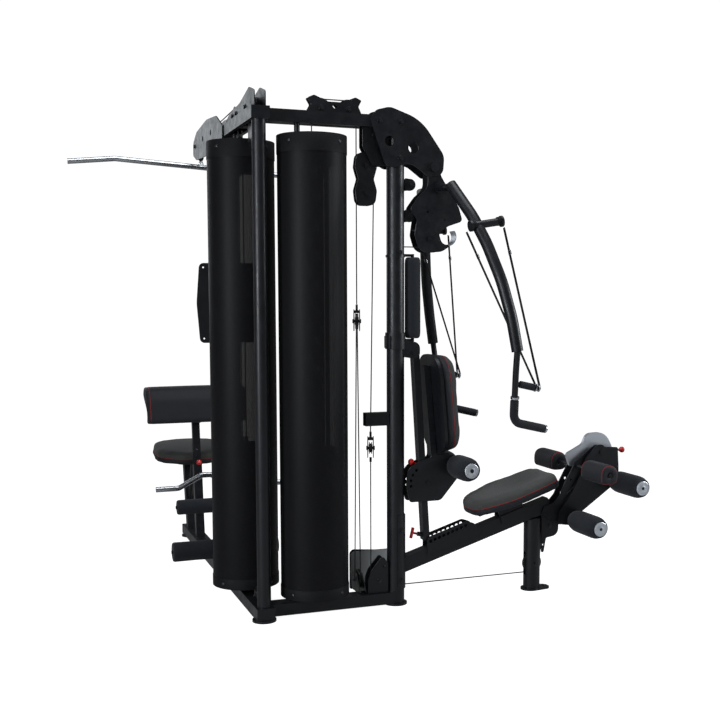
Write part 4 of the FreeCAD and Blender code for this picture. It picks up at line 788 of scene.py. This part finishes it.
def makeDetails():
    bm = bmesh.new()
    for side in (-1, 1):
        tip = Vector((1.1375, armY + side * 0.3426, 0.7851))
        way = Vector((0.166, side * -0.031, -0.039)).normalized()
        turned(bm, [(0, 0), (0.0160, 0), (0.0172, 0.001), (0.0172, 0.0075), (0.0150, 0.009), (0, 0.009)],
               tip, way, 32)
        collar = Vector((0.9735, armY + side * 0.3952, 0.9300))
        ringAt(bm, collar, (0.008, side * -0.026, -0.128), 0.0128, 0.0182, 0.011)
        peg = Vector((1.0595, armY + side * 0.404, 0.9654))
        ringAt(bm, peg, (0.107, 0, -0.024), 0.0080, 0.0165, 0.005)
        cap = Vector((1.0740, armY + side * 0.404, 0.9622))
        turned(bm, [(0, 0), (0.0125, 0), (0.0140, 0.002), (0.0140, 0.006), (0.012, 0.0075), (0, 0.0075)],
               cap, (0.107, 0, -0.024), 32)
    showPiece("gripCollars", bm, [finishes["chrome"]], "press_arms", "chrome")

    strip = {"centre": (0.830, 1.596), "radius": 0.0385, "thick": 0.003, "half": 0.0265,
             "from": -82, "to": 38}
    hoop = bmesh.new()
    rows = []
    for k in range(25):
        angle = math.radians(strip["from"] + (strip["to"] - strip["from"]) * k / 24)
        out = Vector((math.cos(angle), 0, math.sin(angle)))
        spot = Vector((strip["centre"][0], armY, strip["centre"][1]))
        corners = ((0, -1), (0, 1), (strip["thick"], 1), (strip["thick"], -1))
        sideways = Vector((0, strip["half"], 0))
        rows.append([hoop.verts.new(spot + out * (strip["radius"] + lift) + sideways * side)
                     for lift, side in corners])
    for first, second in zip(rows, rows[1:]):
        for k in range(4):
            hoop.faces.new((first[k], first[(k + 1) % 4], second[(k + 1) % 4], second[k]))
    hoop.faces.new(rows[0])
    hoop.faces.new(rows[-1])
    showPiece("pressHoop", hoop, [finishes["silver_plate"]], "press_plates", "silver_plate")

    plate = {"left": 0.474, "right": 0.668, "low": 0.020, "high": 0.186, "front": 0.2984, "thick": 0.0014}
    tread = bmesh.new()
    bmesh.ops.create_cube(tread, size=1)
    for v in tread.verts:
        v.co = Vector((plate["left"] if v.co.x < 0 else plate["right"],
                       plate["front"] + (0 if v.co.y < 0 else plate["thick"]),
                       plate["low"] if v.co.z < 0 else plate["high"]))
    upright = [edge for edge in tread.edges if abs(edge.verts[0].co.y - edge.verts[1].co.y) > 0.0005]
    bmesh.ops.bevel(tread, geom=upright, offset=0.018, segments=5, profile=0.5, affect="EDGES", material=-1)
    showPiece("footTread", tread, [paleSteel], "base_frame", "silver_plate")

    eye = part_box("lat_cable")[1]
    balls = bmesh.new()
    latX = (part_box("lat_cable")[0].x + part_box("lat_cable")[1].x) / 2
    latEnd = Vector((latX, eye.y - 0.0025, 2.030))
    turned(balls, [(0, 0.016), (0.009, 0.013), (0.0145, 0.004), (0.0145, -0.004), (0.009, -0.013),
                   (0, -0.016)], latEnd, (0, 0, -1), 28)
    showPiece("latCableBall", balls, [finishes["wheel_plastic"]], "lat_bar", "wheel_plastic")
    links = [[latEnd + Vector((0.011 * math.cos(a), 0.002 * math.sin(2 * a), -0.034 + 0.020 * math.sin(a)))
              for a in (math.tau * k / 28 for k in range(28))]]
    tube("latSnapHook", links, 0.0024, [finishes["chrome"]], "lat_bar", "chrome", closed=True)
    curlLow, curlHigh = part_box("curl_bar")
    middle = (curlLow + curlHigh) / 2
    links = [[Vector((middle.x + 0.014 * math.cos(a), middle.y, curlLow.z + 0.022 + 0.022 * math.sin(a)))
              for a in (math.tau * k / 28 for k in range(28))]]
    tube("curlSnapHook", links, 0.0024, [finishes["chrome"]], "curl_bar", "chrome", closed=True)


def boltSpots(node):
    bm = bmesh.new()
    bm.from_mesh(nodes[node].data)
    bmesh.ops.remove_doubles(bm, verts=bm.verts, dist=1e-6)
    spots = []
    left = set(bm.verts)
    for first in bm.verts:
        if first not in left:
            continue
        group, edge = set(), [first]
        while edge:
            v = edge.pop()
            if v in left:
                left.discard(v)
                group.add(v)
                edge.extend(link.other_vert(v) for link in v.link_edges)
        low = Vector([min(v.co[k] for v in group) for k in range(3)])
        high = Vector([max(v.co[k] for v in group) for k in range(3)])
        spots.append((low, high))
    bm.free()
    return spots


def makeBoltHeads():
    head = {"foot": 0.0078, "crown": 0.0072, "high": 0.003, "proud": 0.0012}
    bm = bmesh.new()
    for low, high in boltSpots("frame_bolts"):
        spans = high - low
        axis = max(range(3), key=lambda k: spans[k])
        middle = (low + high) / 2
        for side, reach in ((-1, low[axis]), (1, high[axis])):
            way = Vector([side if k == axis else 0 for k in range(3)])
            face = Vector([reach if k == axis else middle[k] for k in range(3)])
            ring = bmesh.ops.create_cone(bm, cap_ends=True, segments=6, depth=head["high"],
                                         radius1=head["foot"], radius2=head["crown"])
            turn = way.to_track_quat("Z", "Y").to_matrix().to_4x4()
            place = Matrix.Translation(face + way * head["proud"]) @ turn
            bmesh.ops.transform(bm, matrix=place, verts=ring["verts"])
            ringAt(bm, face - way * 0.0047, way, 0.0089, 0.0122, 0.0014, 24)
    showPiece("boltHexes", bm, [finishes["bolt_steel"]], "frame_bolts", "bolt_steel")


makeCushions()
makeRollers()
makeFoamRolls()
makeGrips()
makeStraps()
print("soft pieces made")
makeCables()
makeGuardBands()
makeDetails()
makeBoltHeads()
print("details made")
